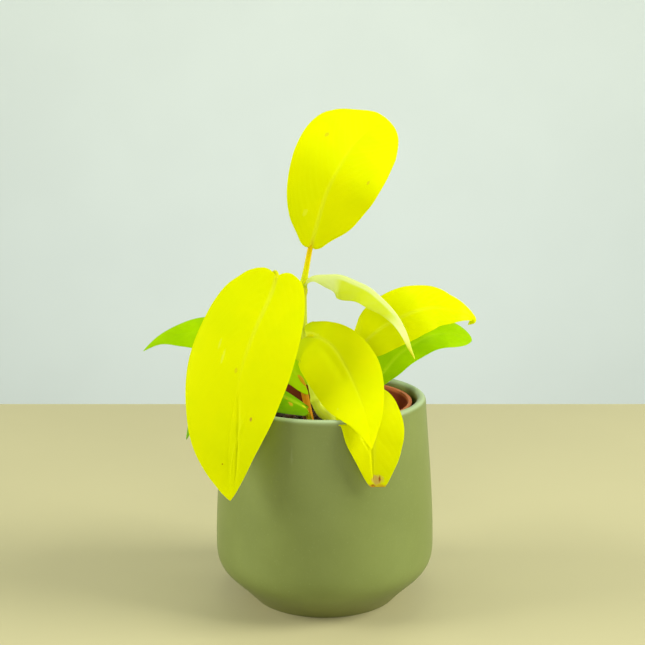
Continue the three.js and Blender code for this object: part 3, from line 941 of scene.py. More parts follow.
def blade_surface(leaf, rib, u, v):
    """The blade's middle surface: u runs from base to tip and v from -1 to 1 across."""
    form = leaf["form"]
    centre, along, across, face = blade_frame(leaf, rib, u)
    reach = np.abs(v)
    minus, plus = (outline_width(leaf["outline"], u, side) for side in (-1, 1))
    width = np.where(v < 0, minus, plus)
    curl = np.where(v < 0, *form["curl"]) + 1e-6
    turn = curl * reach
    sideways = width * np.sin(turn) / curl * np.sign(v)
    sink = width * (1 - np.cos(turn)) / curl
    lift = form.get("fold", 0.12) * width * reach - sink
    wave, waves = form["wave"] * MM, form.get("waves", 3.0)
    phase = np.where(v < 0, 0.0, 1.3)
    lift = lift + wave * np.sin(math.pi * waves * u + phase) * reach**2 * np.sin(math.pi * u) ** 0.5
    lobe = leaf["outline"].get("lobe", 0.0) * MM
    back = lobe * (1 - u) ** 4 * np.sin(math.pi * 0.9 * reach) ** 0.9
    return centre + across * sideways[..., None] + face * lift[..., None] - along * back[..., None]


trial = {"widths": [(0, 10, 10), (0.5, 20, 20), (1, 0, 0)]}
print("half-width at a quarter:", round(float(outline_width(trial, 0.25, 1)) / MM, 1), "mm")

# %% [markdown]
# ### Relief and thickness
#
# Along the midrib the upper side has a narrow channel and the lower side a rounded rib that thins
# towards the tip. Side veins leave the midrib at an angle and bend towards the tip, and a crease is
# a soft dent along a line. These are true relief and not a bump map, because they catch light along
# the margin. The thickness fades to nothing at the edge, which closes the sheet.

# %% Blade relief
BLADE_THICKNESS = 0.42 * MM
CHANNEL_DEPTH = 0.12 * MM
CHANNEL_WIDTH = 0.9 * MM
RIB_WIDTH = 1.1 * MM
VEIN_SPACING = 7.5 * MM
VEIN_HEIGHT = 0.035 * MM
VEIN_LEAN = 0.9
VEIN_BEND = 30.0
CREASE_REACH = 30 * MM  # a half-blade's width, to measure a crease across it


def bell(distance, width):
    return np.exp(-((distance / width) ** 2))


def crease_depth(crease, u, v, length):
    """The dent of one crease, which runs between two (share, across) points."""
    start, end, wide, deep = crease
    start, end = np.array(start), np.array(end)
    way = end - start
    share = np.clip(((u - start[0]) * way[0] + (v - start[1]) * way[1]) / (way @ way), 0, 1)
    gap_u = (u - start[0] - share * way[0]) * length
    gap_v = (v - start[1] - share * way[1]) * CREASE_REACH
    dent = np.exp(-((gap_u**2 + gap_v**2) / (wide * MM) ** 2))
    return deep * MM * dent * np.sin(math.pi * share) ** 0.5


def blade_relief(leaf, u, v, sideways, length):
    """How far the upper and lower sides stand off the middle surface, in metres."""
    away = np.abs(sideways)
    at_edge = np.sqrt(np.clip(1 - np.abs(v) ** 10, 0, 1))
    at_tip = np.clip((1 - u) * 60, 0, 1) ** 0.5
    thick = BLADE_THICKNESS / 2 * at_edge * at_tip
    fade = (1 - u) ** 0.7
    channel = CHANNEL_DEPTH * fade * bell(away, CHANNEL_WIDTH)
    ridge = leaf.get("rib_height", 1.0) * MM * fade * bell(away, RIB_WIDTH)
    turns = (u * length - (VEIN_LEAN * away + VEIN_BEND * away**2)) / VEIN_SPACING
    vein = (0.5 + 0.5 * np.cos(2 * math.pi * turns)) ** 6
    vein = vein * np.clip(away / (3 * MM), 0, 1) * np.clip((1 - np.abs(v)) * 4, 0, 1)
    vein = vein * leaf.get("veins", 1.0) * VEIN_HEIGHT
    for crease in leaf.get("creases", []):
        vein = vein + crease_depth(crease, u, v, length)
    return thick - channel - vein, -thick - ridge - vein


print("blade thickness", round(BLADE_THICKNESS / MM, 2), "mm")

# %% [markdown]
# ### The blade as a mesh
#
# Rows lie closer together towards both ends and columns closer together at the midrib, where the
# form is finest. The upper and the lower side are two grids, and a band of quads joins them round
# the edge. Each point remembers how far along and across the leaf it lies and on which side, so the
# finish can follow the leaf.

# %% Blade mesh
ROWS = 120
HALF_COLUMNS = 34


def blade_mesh(leaf, rib, rows=ROWS, half_columns=HALF_COLUMNS):
    """Points, faces and leaf coordinates of a closed blade."""
    u = (1 - np.cos(np.linspace(0, math.pi, rows))) / 2
    u = 0.6 * u + 0.4 * np.linspace(0, 1, rows)  # crowded towards both ends, but not too much
    spread = np.linspace(-1, 1, 2 * half_columns + 1)
    v = np.sign(spread) * np.abs(spread) ** 1.35
    grid_u, grid_v = np.meshgrid(u, v, indexing="ij")
    middle = blade_surface(leaf, rib, grid_u, grid_v)
    normal = np.cross(np.gradient(middle, axis=1), np.gradient(middle, axis=0))
    normal = normal / np.maximum(np.linalg.norm(normal, axis=-1, keepdims=True), 1e-12)
    normal[-1] = normal[-2, half_columns]
    minus, plus = (outline_width(leaf["outline"], grid_u, side) for side in (-1, 1))
    sideways = np.where(grid_v < 0, minus, plus) * grid_v
    upper, lower = blade_relief(leaf, grid_u, grid_v, sideways, rib.length)
    points = np.stack([middle + normal * upper[..., None], middle + normal * lower[..., None]])
    place = np.stack([grid_u * rib.length / MM, sideways / MM, np.abs(grid_v)], -1)
    columns = len(v)
    count = rows * columns
    faces = np.vstack([grid_faces(rows, columns), grid_faces(rows, columns, start=count)[:, ::-1]])
    rim = [row * columns for row in range(rows)]
    rim += [(rows - 1) * columns + column for column in range(1, columns)]
    rim += [row * columns + columns - 1 for row in range(rows - 2, -1, -1)]
    rim += [column for column in range(columns - 2, 0, -1)]
    edge = [[a, b, b + count, a + count] for a, b in zip(rim, rim[1:] + rim[:1])]
    sides = np.concatenate([np.zeros(count), np.ones(count)])
    lower_side = np.stack([sides, sides * 0, sides * 0], -1)
    attributes = {"leaf": np.stack([place, place]), "side": lower_side}
    return points.reshape(-1, 3), [*faces.tolist(), *edge], attributes


print("a blade has", 2 * ROWS * (2 * HALF_COLUMNS + 1), "points")

# %% [markdown]
# ### Leaf finish
#
# Young leaves of this plant are lime yellow because they hold little chlorophyll, and older ones
# turn green. Light passes through them, so the shader mixes a satin surface with a translucent one.
# The colour follows the leaf's own coordinates, so this first class reads them from the mesh and
# finds the side veins and any mark from them.

# %% Leaf coordinates


class Leaf(Finish):
    """A finish that knows its place on the leaf, in millimetres."""

    def __init__(self, name):
        super().__init__(name)
        self.along, self.across, self.reach = self.parts("leaf")
        self.under = self.parts("side")[0]

    def veins(self):
        """1 on a side vein and 0 between two, in step with the blade's relief."""
        away = self.across.size()
        lag = away * VEIN_LEAN + away * away * (VEIN_BEND * MM)
        wave = ((self.along - lag) * (2 * math.pi / (VEIN_SPACING / MM))).sine() * 0.5 + 0.5
        return (wave**6) * away.rise(1.0, 5.0) * self.reach.rise(1.0, 0.7)

    def mark(self, place, radius, stretch, ragged):
        """1 inside a ragged spot at a place (along, across); stretch makes it longer."""
        far_along = (self.along - place[0]) / stretch
        far_across = self.across - place[1]
        distance = (far_along * far_along + far_across * far_across) ** 0.5
        return (distance + ragged * radius * 1.2).rise(radius, radius * 0.45)


print("side veins are", round(VEIN_SPACING / MM, 1), "mm apart")

# %% [markdown]
# ### The recipe for a leaf
#
# The recipe lays one tone over another: pale along the midrib, slightly deeper between side veins
# and along the margin, with clouds of green. Marks such as scars and dried spots come last, in
# millimetres along and across the blade, and each makes the surface rougher.

# %% Leaf recipe
RIB_PALE = 0.45
# painted shade: the deeper yellow green laid over a leaf's base
BASE_SHADE_GREEN = (0.45, 0.62, 0.02)


def leaf_finish(name, main, deep, pale, glow, marks=(), shaded_base=0.0, tip_dry=None):
    """A leaf material: main colour, deeper clouds, pale veins, and the light that comes through.

    A mark is (place, radius, stretch, colour, strength). A dry tip is (start, end, colour).
    """
    leaf = Leaf(name)
    cloud = leaf.noise(28, 3)
    fine = leaf.noise(420, 3)
    rib = leaf.across.size().rise(2.4, 0.3) * leaf.along.rise(90.0, 4.0) * RIB_PALE
    colour = leaf.blend(cloud.rise(0.38, 0.66) * 0.6, main, deep)
    colour = leaf.blend(leaf.veins() * 0.05, colour, pale)
    colour = leaf.blend(fine.rise(0.45, 0.7) * 0.12, colour, deep)
    colour = leaf.blend(rib, colour, pale)
    colour = leaf.blend(leaf.reach.rise(0.965, 0.995) * 0.35, colour, deep)
    # painted shade: a deeper yellow green towards the base
    if shaded_base:
        colour = leaf.blend(leaf.along.rise(12.0, 1.0) * shaded_base, colour, BASE_SHADE_GREEN)
    roughness = cloud * 0.1 + fine * 0.08 + 0.3
    ragged = fine - 0.5
    for place, radius, stretch, mark_colour, strength in marks:
        mask = leaf.mark(place, radius, stretch, ragged) * strength
        colour = leaf.blend(mask, colour, mark_colour)
        roughness = roughness + mask * 0.3
    if tip_dry:
        start, end, dry_colour = tip_dry
        dry = (leaf.along + ragged * 5.0).rise(start, end)
        colour = leaf.blend(dry, colour, dry_colour)
        roughness = roughness + dry * 0.3
    colour = leaf.blend(leaf.under * 0.25, colour, pale)
    skin = leaf.bump(fine + leaf.noise(1800, 2) * 0.4, 0.05 * MM, 0.6)
    satin = leaf.shine(
        colour, roughness, skin, Specular_IOR_Level=0.1, Specular_Tint=(1.0, 1.0, 0.0),
    )
    return leaf.glowing(glow, satin, colour, Normal=skin)


LIME = (0.93, 0.94, 0.0)
LIME_DEEP = (0.86, 0.91, 0.0)
LIME_PALE = (0.93, 0.96, 0.06)
GREEN = (0.54, 0.8, 0.0)
GREEN_DEEP = (0.38, 0.66, 0.0)
GREEN_PALE = (0.66, 0.85, 0.02)
TAN = (0.62, 0.36, 0.05)
RUST = (0.45, 0.13, 0.01)
DRIED = (0.8, 0.58, 0.15)
SIDE_GREEN = (0.44, 0.7, 0.0)
SIDE_GREEN_DEEP = (0.28, 0.56, 0.0)
LOW_GREEN = (0.26, 0.55, 0.0)
LOW_GREEN_DEEP = (0.15, 0.4, 0.0)
OCHRE = (0.75, 0.45, 0.02)
STRAW = (0.7, 0.5, 0.02)
DRY_EDGE = (0.75, 0.4, 0.04)
print("a lime leaf is", LIME, "and a green one", GREEN)

# %% [markdown]
# ## The nine leaves
#
# Every leaf is written down the way a gardener would describe it: where its midrib starts and ends,
# how it arches off the straight line between them, which way its upper side faces at its base and
# its tip, and how wide it is along the way. Then come its form, which is how tightly each half
# curls and how much it folds and waves, and any creases. The places are those of the CAD model's
# leaves, drawn a little finer.

# %% Front leaves
LEAVES = {
    "top_leaf": {
        "ends": (over_pot(-9.3, 0, 103.3), over_pot(39, 43, 189)),
        "arch": [(-1, -8, 8), (-2, -14, 14), (-2, -18, 16), (-2, -18, 15), (-2, -15, 12),
                 (-1, -10, 8), (0, -5, 4)],
        "face": [(0.1, -1, 0.1), (0.1, -1, 0.5)],
        "outline": {
            "widths": [(0, 5, 5), (0.06, 12, 12.5), (0.15, 20, 22.5), (0.3, 27, 30), (0.45, 32, 32),
                       (0.6, 33, 31.5), (0.75, 28.5, 28.5), (0.87, 20, 22.5), (0.95, 11.5, 15),
                       (1, 0, 0)],
            "lobe": 1.5, "blunt": 0.9,
        },
        "form": {"curl": (0.15, 0.2), "wave": 0.4},
    },
    "left_leaf": {
        "ends": (over_pot(-31.7, -28, 87.2), outside_rim(-127.2, 30.7, -49.8)),
        "arch": [(1, 3, 11), (-4, 1, 13), (-8, 0, 12), (-8, 0, 10), (-6, 0, 8)],
        "face": [(-0.2, -1, 0.5), (-0.3, -1, 0.2)],
        "outline": {
            "widths": [(0, 14, 16), (0.06, 22, 28), (0.15, 28, 33.5), (0.3, 32.5, 37),
                       (0.45, 33, 37.5), (0.6, 29, 34), (0.75, 22, 27), (0.87, 13.5, 17),
                       (0.95, 6, 8), (1, 0, 0)],
            "lobe": 4,
        },
        "form": {"curl": (0.3, 0.3), "wave": 0.8},
        "creases": [((0.55, -0.05), (0.93, -0.45), 3.0, 0.9),
                    ((0.62, -0.35), (0.9, -0.12), 2.4, -0.5)],
    },
    "centre_leaf": {
        "ends": (over_pot(-11.3, -13, 43.9), outside_rim(-70.7, 19.8, -14.5)),
        "arch": [(2, 7, 9), (4, 10, 14), (6, 8, 12), (6, 5, 9), (4, 3, 7)],
        "face": [(-0.3, -0.7, 0.8), (0, -1, 0.2)],
        "outline": {
            "widths": [(0, 12, 18), (0.06, 13, 23), (0.15, 16, 26), (0.3, 20, 27.5),
                       (0.45, 21, 26.5), (0.6, 18, 24), (0.75, 12.5, 17), (0.87, 6.5, 8),
                       (0.95, 2.5, 3), (1, 0, 0)],
            "lobe": 5,
        },
        "form": {"curl": (0.2, 0.12), "wave": 0.5},
        "creases": [((0.1, 0.25), (0.5, 0.2), 3.5, 0.5)],
    },
    "low_front_leaf": {
        "ends": (outside_rim(-62, -31.2, 10.4), outside_rim(-67.1, 11.7, -42.1)),
        "arch": [(3, 1, 7), (6, -2, 13), (7, -6, 15), (7, -8, 15), (4, -7, 12), (2, -4, 7)],
        "face": [(0, -0.3, 1), (0.1, -1, 0.1)],
        "outline": {
            "widths": [(0, 9, 13), (0.06, 14, 17), (0.15, 14.5, 19.5), (0.3, 17, 24),
                       (0.45, 18, 25), (0.6, 18.5, 21), (0.75, 16.5, 14), (0.87, 12.5, 9),
                       (0.95, 9.5, 5.5), (1, 7, 2)],
            "lobe": 3, "blunt": 0.3,
        },
        "form": {"curl": (0.15, 0.0), "wave": 0.6},
        "creases": [((0.55, 0.1), (0.95, 0.12), 1.6, 0.9), ((0.45, 0.75), (0.72, 0.15), 2.0, 0.7)],
    },
}
print("in front:", list(LEAVES))

# %% [markdown]
# ### The leaves to the right
#
# The new leaf is the narrowest. One half of it curls round almost into a tube, which the large
# first number of its curl does.

# %% Right leaves
LEAVES |= {
    "new_leaf": {
        "ends": (over_pot(-14.7, -2, 77.6), over_pot(59.5, -36, 33.3)),
        "arch": [(0, 1, 9), (3, 1, 14), (5, 1, 18), (7, 1, 19), (10, 0, 19), (11, 1, 17),
                 (11, 1, 15), (10, 1, 12), (8, 0, 7), (4, 0, 3)],
        "face": [(0, -1, 0.35), (0.5, -0.8, 0.35)],
        "outline": {
            "widths": [(0, 1.5, 1.5), (0.09, 2.5, 3.5), (0.2, 4.5, 9), (0.31, 6, 14.5),
                       (0.42, 6, 12), (0.52, 5.5, 11), (0.62, 5, 8), (0.72, 4, 6), (0.82, 3, 4.5),
                       (0.9, 2, 3), (0.96, 1.2, 1.4), (1, 0.4, 0.4)],
        },
        "form": {"curl": (2.6, 0.15), "wave": 0.9, "waves": 5.0, "fold": 0.0},
        "rib_height": 0.3, "veins": 0.5,
    },
    "right_leaf": {
        "ends": (over_pot(22.8, 2, 32.3), over_pot(99.6, 17, 45.4)),
        "arch": [(0, -4, 7), (1, -5, 13), (3, -6, 17), (6, -6, 20), (9, -4, 20), (12, -4, 17),
                 (13, -4, 13), (11, -2, 7)],
        "face": [(-0.3, -0.9, 0.6), (0.3, -0.7, 0.7)],
        "outline": {
            "widths": [(0, 9, 9), (0.06, 13, 13), (0.15, 18, 17), (0.3, 22.5, 19), (0.45, 23, 18.5),
                       (0.6, 20, 16), (0.75, 12.5, 11), (0.87, 6.5, 5), (0.95, 3, 2), (1, 0, 0)],
            "lobe": 4,
        },
        "form": {"curl": (0.4, 0.4), "wave": 0.5},
        "veins": 1.3,
    },
    "right_green_leaf": {
        "ends": (over_pot(35.1, 14, 5.3), over_pot(105.3, 42, 30)),
        "arch": [(-2, 0, 5), (-4, 0, 10), (-4, 0, 13), (-3, 0, 15), (-1, 0, 13), (1, 0, 7)],
        "face": [(-0.4, -0.7, 0.8), (0.2, -0.6, 0.8)],
        "outline": {
            "widths": [(0, 6, 6), (0.08, 10, 9), (0.2, 14, 12), (0.4, 16, 13), (0.6, 16, 14),
                       (0.78, 14, 13), (0.9, 11, 9), (0.97, 6.5, 4.5), (1, 0, 0)],
            "lobe": 4, "blunt": 1.0,
        },
        "form": {"curl": (0.4, 0.3), "wave": 0.5},
    },
}
print("with those on the right:", len(LEAVES))

# %% [markdown]
# ### The leaves to the left
#
# Two older green leaves reach left behind the rest. The lower one lies over the rim.

# %% Left leaves
LEAVES |= {
    "left_green_leaf": {
        "ends": (over_pot(-15.1, 8, 6.8), over_pot(-129.1, 34, 22.7)),
        "arch": [(4, 1, 9), (5, 2, 16), (3, 2, 20), (3, 3, 22), (1, 4, 22), (-1, 2, 18),
                 (-1, 1, 11)],
        "face": [(0.4, -0.7, 0.8), (-0.2, -0.6, 0.8)],
        "outline": {
            "widths": [(0, 7, 10), (0.06, 11, 14), (0.15, 17, 17), (0.3, 22.5, 19),
                       (0.45, 21, 18.5), (0.6, 18.5, 16), (0.75, 12.5, 11), (0.87, 5, 6.5),
                       (0.95, 1.5, 3.5), (1, 0, 0)],
            "lobe": 9,
        },
        "form": {"curl": (0.3, 0.5), "wave": 0.6},
    },
    "low_left_leaf": {
        "ends": (over_pot(-12.8, -14, -5.9), outside_rim(-161.6, 28.4, -23.6)),
        "arch": [(-1, -1, 9), (-2, -2, 17), (-5, -3, 24), (-8, -2, 26), (-11, -2, 26),
                 (-10, -2, 19), (-6, -2, 11)],
        "face": [(0.2, -0.6, 0.9), (-0.9, -0.3, 0.3)],
        "outline": {
            "widths": [(0, 6, 2.5), (0.06, 10, 4), (0.15, 14, 6), (0.3, 18, 9.5), (0.45, 19, 13),
                       (0.6, 18, 13), (0.75, 14, 11), (0.87, 9, 8), (0.95, 4, 4), (1, 0, 0)],
            "lobe": 2,
        },
        "form": {"curl": (0.3, 0.4), "wave": 0.5},
    },
}
print(len(LEAVES), "leaves described")

# %% [markdown]
# ### A finish for each leaf
#
# All lime leaves share one recipe, and so do the green ones. What tells them apart are the marks
# that time has left: pale scars, tan spots, rusty nicks, and one tip that has dried up. The centre
# leaf also has a pale band at its base, which is a painted highlight, and a deeper base, which is
# painted shade. A mark's place is along and across the leaf in millimetres.

# %% Leaf finishes
LIMES = (LIME, LIME_DEEP, LIME_PALE, 0.5)
FINISHES = {
    "top_leaf": leaf_finish("top_leaf_lime", *LIMES, [
        ((72, -19), 1.6, 1.6, TAN, 0.3), ((58, 22), 1.0, 3.0, TAN, 0.3),
        ((22, -10), 2.0, 1.8, LIME_PALE, 0.6),
    ]),
    "left_leaf": leaf_finish("left_leaf_lime", *LIMES, [
        ((62, 14), 1.2, 4.5, LIME_PALE, 0.8), ((55, 19), 1.0, 4.0, LIME_PALE, 0.7),
        ((68, 3), 1.2, 2.0, TAN, 0.25), ((98, -13), 0.9, 2.2, TAN, 0.8),
        ((128, 4), 0.5, 1.0, RUST, 0.8),
    ]),
    "centre_leaf": leaf_finish("centre_leaf_lime", *LIMES, [
        # painted highlight: the pale band at the base, 1 mm along, stretched along the midrib
        ((70, 16), 0.8, 1.0, LIME_PALE, 0.8), ((1, -2), 2.0, 5.0, LIME_PALE, 0.8),
    # painted shade: the base is painted a deeper yellow green
    ], shaded_base=0.35),
    "low_front_leaf": leaf_finish("low_front_leaf_lime", *LIMES, [
        ((74.5, -2), 4.6, 0.9, DRIED, 0.95), ((74, -3.5), 0.9, 3.2, RUST, 0.9),
        ((78.5, 1), 1.8, 0.8, RUST, 0.9),
    ], tip_dry=(76.5, 80.0, DRY_EDGE)),
    "right_leaf": leaf_finish("right_leaf_lime", *LIMES),
    "right_green_leaf": leaf_finish(
        "right_green_leaf_green", SIDE_GREEN, SIDE_GREEN_DEEP, GREEN_PALE, 0.4,
        [((2, 3), 1.2, 1.5, RUST, 0.9)],
    ),
    "left_green_leaf": leaf_finish(
        "left_green_leaf_green", GREEN, GREEN_DEEP, GREEN_PALE, 0.45,
        [((86, -8), 1.2, 1.5, TAN, 0.5)],
    ),
    "low_left_leaf": leaf_finish(
        "low_left_leaf_green", LOW_GREEN, LOW_GREEN_DEEP, GREEN_PALE, 0.4,
        [((13, -4), 1.9, 1.3, OCHRE, 0.95), ((16, -1), 1.0, 1.2, STRAW, 0.8)],
    ),
}
print(len(FINISHES), "leaf finishes")

# %% [markdown]
# ### The new leaf
#
# The youngest leaf is still half rolled: its far half wraps round the midrib and the near half
# hangs open. Its outside is a pale cream lime, its open half is yellow green and also painted
# darker, a painted shade on its inner side, and the long drip tip is yellow. The same blade builder
# makes it, with a tight curl on one side.

# %% New leaf finish
CREAM = (0.86, 0.92, 0.36)
# partly painted shade: the open half's own yellow green, painted darker for the shade inside it
OPEN_SIDE_SHADED = (0.78, 0.85, 0.002)
DRIP_TIP = (0.78, 0.78, 0.01)
CREAM_FOOT = (0.72, 0.78, 0.06)
CREAM_STREAK = (0.72, 0.82, 0.12)
young = Leaf("new_leaf_cream")
streak = young.noise(160, 3, stretch=(0.3, 1, 1))
# the open half's mask, which also carries the painted shade
open_side_shade = young.across.rise(0.6, 2.4) * young.along.rise(22.0, 32.0) * young.along.rise(84.0, 68.0)
young_colour = young.blend(open_side_shade * (streak * 0.4 + 0.75), CREAM, OPEN_SIDE_SHADED)
young_colour = young.blend(young.along.rise(84.0, 102.0), young_colour, DRIP_TIP)
young_colour = young.blend(young.along.rise(9.0, 2.0) * 0.6, young_colour, CREAM_FOOT)
young_colour = young.blend(streak.rise(0.5, 0.7) * 0.25, young_colour, CREAM_STREAK)
young_skin = young.bump(streak, 0.12 * MM, 0.5)
young_satin = young.shine(
    young_colour, streak * 0.15 + 0.35, young_skin, Specular_IOR_Level=0.35,
)
FINISHES["new_leaf"] = young.glowing(0.4, young_satin, young_colour, Normal=young_skin)
print("new leaf nodes:", len(young.tree.nodes))

# %% [markdown]
# ### Growing the leaves
#
# Now each description becomes a blade. The arch is given as offsets, in millimetres, from evenly
# spaced points on the straight line between the ends. That keeps the arch when an end moves.

# %% Grow the leaves
RIBS = {}
for name, leaf in LEAVES.items():
    base, tip = leaf["ends"]
    count = len(leaf["arch"]) + 1
    arch = enumerate(leaf["arch"], 1)
    arched = [base + (tip - base) * step / count + metres(offset) for step, offset in arch]
    RIBS[name] = Path([base, *arched, tip])
    points, faces, attributes = blade_mesh(leaf, RIBS[name])
    green = "green" in name or name == "low_left_leaf"
    kind = "new" if name == "new_leaf" else "green" if green else "lime"
    slot = f"{kind}_leaf_blade"
    piece(name + "_blade", points, faces, FINISHES[name], slot, [name], attributes)
    print(f"{name}: midrib {RIBS[name].length / MM:.0f} mm, {len(faces)} faces")

# %% [markdown]
# ## Stem and stalks
#
# The stem climbs in short steps, with a slight swelling at each node where a leaf stalk clasps it.
# A stalk is a little flattened, has a shallow channel on its upper side and widens into a sheath at
# its foot. A tube swept along the path with a radius that changes does all of this, where a plain
# bevelled curve would stay perfectly round and even.

# %% Sweep a stalk
SHEATH_REACH = 7 * MM
TOP_REACH = 5 * MM
NODE_REACH = 2.2 * MM
NODE_SWELL = 0.22
CHANNEL_ANGLE = 0.5
STALK_FLAT = 0.92


def tube_frames(path, count):
    """Shares and places along a path, and two side directions that do not twist."""
    share = np.linspace(0, 1, count)
    centre, along = path.at(share), path.heading(share)
    side = np.cross(along[0], [0.0, 1.0, 0.2])
    sides = []
    for way in along:
        side = unit(side - way * (side @ way))
        sides.append(side)
    sides = np.array(sides)
    return share, centre, sides, np.cross(along, sides)


def stalk_mesh(path, radii, sheath=0.0, swell=0.0, channel=0.0, rows=90, columns=22, nodes=()):
    """A tapered tube with a widened foot, a swollen top, a channel and swollen nodes."""
    share, centre, across, up = tube_frames(path, rows)
    radius = np.interp(share, np.linspace(0, 1, len(radii)), radii) * MM
    far = share * path.length
    radius = radius * (1 + sheath * bell(far, SHEATH_REACH))
    radius = radius * (1 + swell * bell(path.length - far, TOP_REACH))
    for node in nodes:
        radius = radius * (1 + NODE_SWELL * bell((share - node) * path.length, NODE_REACH))
    angle = np.arange(columns) * 2 * math.pi / columns
    groove = 1 - channel * bell(angle - math.pi, CHANNEL_ANGLE)
    cosine, sine = np.cos(angle)[:, None], np.sin(angle)[:, None]
    ring = across[:, None] * cosine + up[:, None] * sine * STALK_FLAT
    points = centre[:, None] + ring * (radius[:, None] * groove)[..., None]
    ends = [list(range(columns))[::-1], [(rows - 1) * columns + i for i in range(columns)]]
    around = np.broadcast_to(angle, (rows, columns))
    distance = np.broadcast_to(far[:, None] / MM, (rows, columns))
    total = np.full((rows, columns), path.length / MM)
    attributes = {"stalk": np.stack([distance, around, total - distance], -1)}
    faces = grid_faces(rows, columns, wrap=True).tolist()
    return points.reshape(-1, 3), [*faces, *ends], attributes


print("a thread-thin path has", len(stalk_mesh(corner, [1, 1])[0]), "points when swept")

# %% [markdown]
# ### Stalk finishes
#
# Stalks change colour from foot to top: pale green where they leave the stem, yellow or amber
# above, and rusty on two old leaves. Fine lengthwise streaks and small pale pores, called
# lenticels, keep them from looking like plastic. They let a little light through, as the blades do.

# %% Stalk finishes
LENTICEL = (0.86, 0.86, 0.3)


def stalk_finish(name, foot, middle, top, stripe, reach=14.0):
    """Colours from foot to top, with fine lengthwise streaks and small pale lenticels."""
    stalk = Finish(name)
    from_foot, around, from_top = stalk.parts("stalk")
    streak = (around * 9.0 + stalk.noise(60, 2) * 4.0).sine() * 0.5 + 0.5
    colour = stalk.blend(from_foot.rise(0.0, reach), foot, middle)
    colour = stalk.blend(from_top.rise(reach * 1.6, 0.0), colour, top)
    colour = stalk.blend(streak * 0.25, colour, stripe)
    fleck = stalk.noise(1300, 2).rise(0.68, 0.76)
    colour = stalk.blend(fleck * 0.3, colour, LENTICEL)
    skin = stalk.bump(streak + fleck * 0.6, 0.08 * MM, 0.6)
    satin = stalk.shine(
        colour, streak * 0.1 + 0.32, skin, Specular_IOR_Level=0.25, Specular_Tint=(1.0, 1.0, 0.2),
    )
    return stalk.glowing(0.35, satin, colour)


YELLOW = (0.85, 0.82, 0.0)
AMBER = (0.82, 0.52, 0.0)
LEAFY = (0.68, 0.78, 0.02)
CREAM_GREEN = (0.82, 0.88, 0.22)
STEM_GREEN = (0.8, 0.86, 0.06)
SHOOT_GREEN = (0.6, 0.74, 0.06)
SHOOT_TIP = (0.5, 0.66, 0.03)
RUST_FOOT = (0.6, 0.16, 0.01)
RUST_ORANGE = (0.85, 0.38, 0.012)
RUST_TOP = (0.86, 0.5, 0.01)
RUST_STREAK = (0.5, 0.1, 0.005)
STALK_FINISHES = {
    "yellow": stalk_finish("yellow_stalk", LEAFY, YELLOW, YELLOW, LEAFY),
    "amber": stalk_finish("amber_stalk", LEAFY, YELLOW, AMBER, YELLOW, 20.0),
    "rust": stalk_finish("rust_stalk", RUST_FOOT, RUST_ORANGE, RUST_TOP, RUST_STREAK),
    "stem": stalk_finish("stem_skin", CREAM_GREEN, STEM_GREEN, YELLOW, CREAM_GREEN),
    "shoot": stalk_finish("shoot_skin", CREAM_GREEN, SHOOT_GREEN, SHOOT_TIP, LEAFY, 8.0),
}
print("stalk finishes:", sorted(STALK_FINISHES))

# %% [markdown]
# ### The stem
#
# The stem starts down in the soil, leans left and climbs in short steps. It gets thinner on the way
# up, and its nodes are given as shares of its length.

# %% Grow the stem
ROOTED = 12 * MM
STEM_RADII = [4.6, 3.8, 3.1, 2.7, 2.6]
STEM_NODES = (0.32, 0.45, 0.55, 0.62, 0.76, 0.97)


def rooted(x, y):
    """A foot in the soil and the point where it comes out."""
    return [np.array([x * MM, y * MM, SOIL_TOP + lift]) for lift in (-ROOTED, 0.0)]


stem_bends = [(3, -17, -12), (-4, -12, -6), (-9, -6, 12), (-14, -2, 38), (-15, 0, 76)]
STEM = Path([*rooted(8, -20), *[over_pot(*bend) for bend in stem_bends]])
points, faces, attributes = stalk_mesh(
    STEM, STEM_RADII, sheath=0.2, swell=0.12, rows=170, columns=28, nodes=STEM_NODES,
)
skin = STALK_FINISHES["stem"]
piece("climbing_stem", points, faces, skin, "stem_green", ["main_stem"], attributes)
print("stem length", round(STEM.length / MM), "mm")

# %% [markdown]
# ### The leaf stalks
#
# A stalk, or petiole, runs from the stem or the soil to its leaf, bends under the midrib and ends
# inside it. Its end sinks a little into the blade and gets thin there, so no seam shows.

# %% Grow the stalks
SUNK = 1.4 * MM
SUNK_END = 1.7 * MM
# leaf: (start, bends, radii, finish); a start is a share of the stem or a foot in the soil
STALKS = {
    "top_leaf": (0.98, [], (2.3, 1.9), "amber"),
    "left_leaf": (0.6, [(-20, -2, 48), (-29, -10, 76), (-33, -20, 88)], (2.5, 2.0), "yellow"),
    "centre_leaf": (0.55, [], (2.2, 1.7), "yellow"),
    "low_front_leaf": ((15, -12), [(15, -20, 0)], (2.2, 1.7), "yellow"),
    "new_leaf": (0.97, [], (1.9, 1.5), "yellow"),
    "right_leaf": ((9, 0), [(13, 4, 10)], (2.4, 1.8), "yellow"),
    "right_green_leaf": ((6, 14), [], (2.2, 1.7), "rust"),
    "left_green_leaf": ((-10, 2), [], (3.0, 2.6), "rust"),
    "low_left_leaf": ((-9, -10), [], (2.1, 1.6), "yellow"),
}
for name, (start, bends, radii, skin) in STALKS.items():
    foot = rooted(*start) if isinstance(start, tuple) else [STEM.at(start)]
    rib = RIBS[name]
    blade_base, _, _, face = blade_frame(LEAVES[name], rib, np.array(0.0))
    joint = [blade_base - face * SUNK, rib.at(0.06) - face * SUNK_END]
    path = Path([*foot, *[over_pot(*bend) for bend in bends], *joint])
    tapering = [radii[0], *np.linspace(*radii, 6), radii[1] * 0.9, radii[1] * 0.4]
    points, faces, attributes = stalk_mesh(path, tapering, sheath=0.35, channel=0.16)
    slot = "rust_stalk" if name == "left_green_leaf" else "yellow_stalk"
    node = name + "_stalk"
    piece(name + "_petiole", points, faces, STALK_FINISHES[skin], slot, [node], attributes)
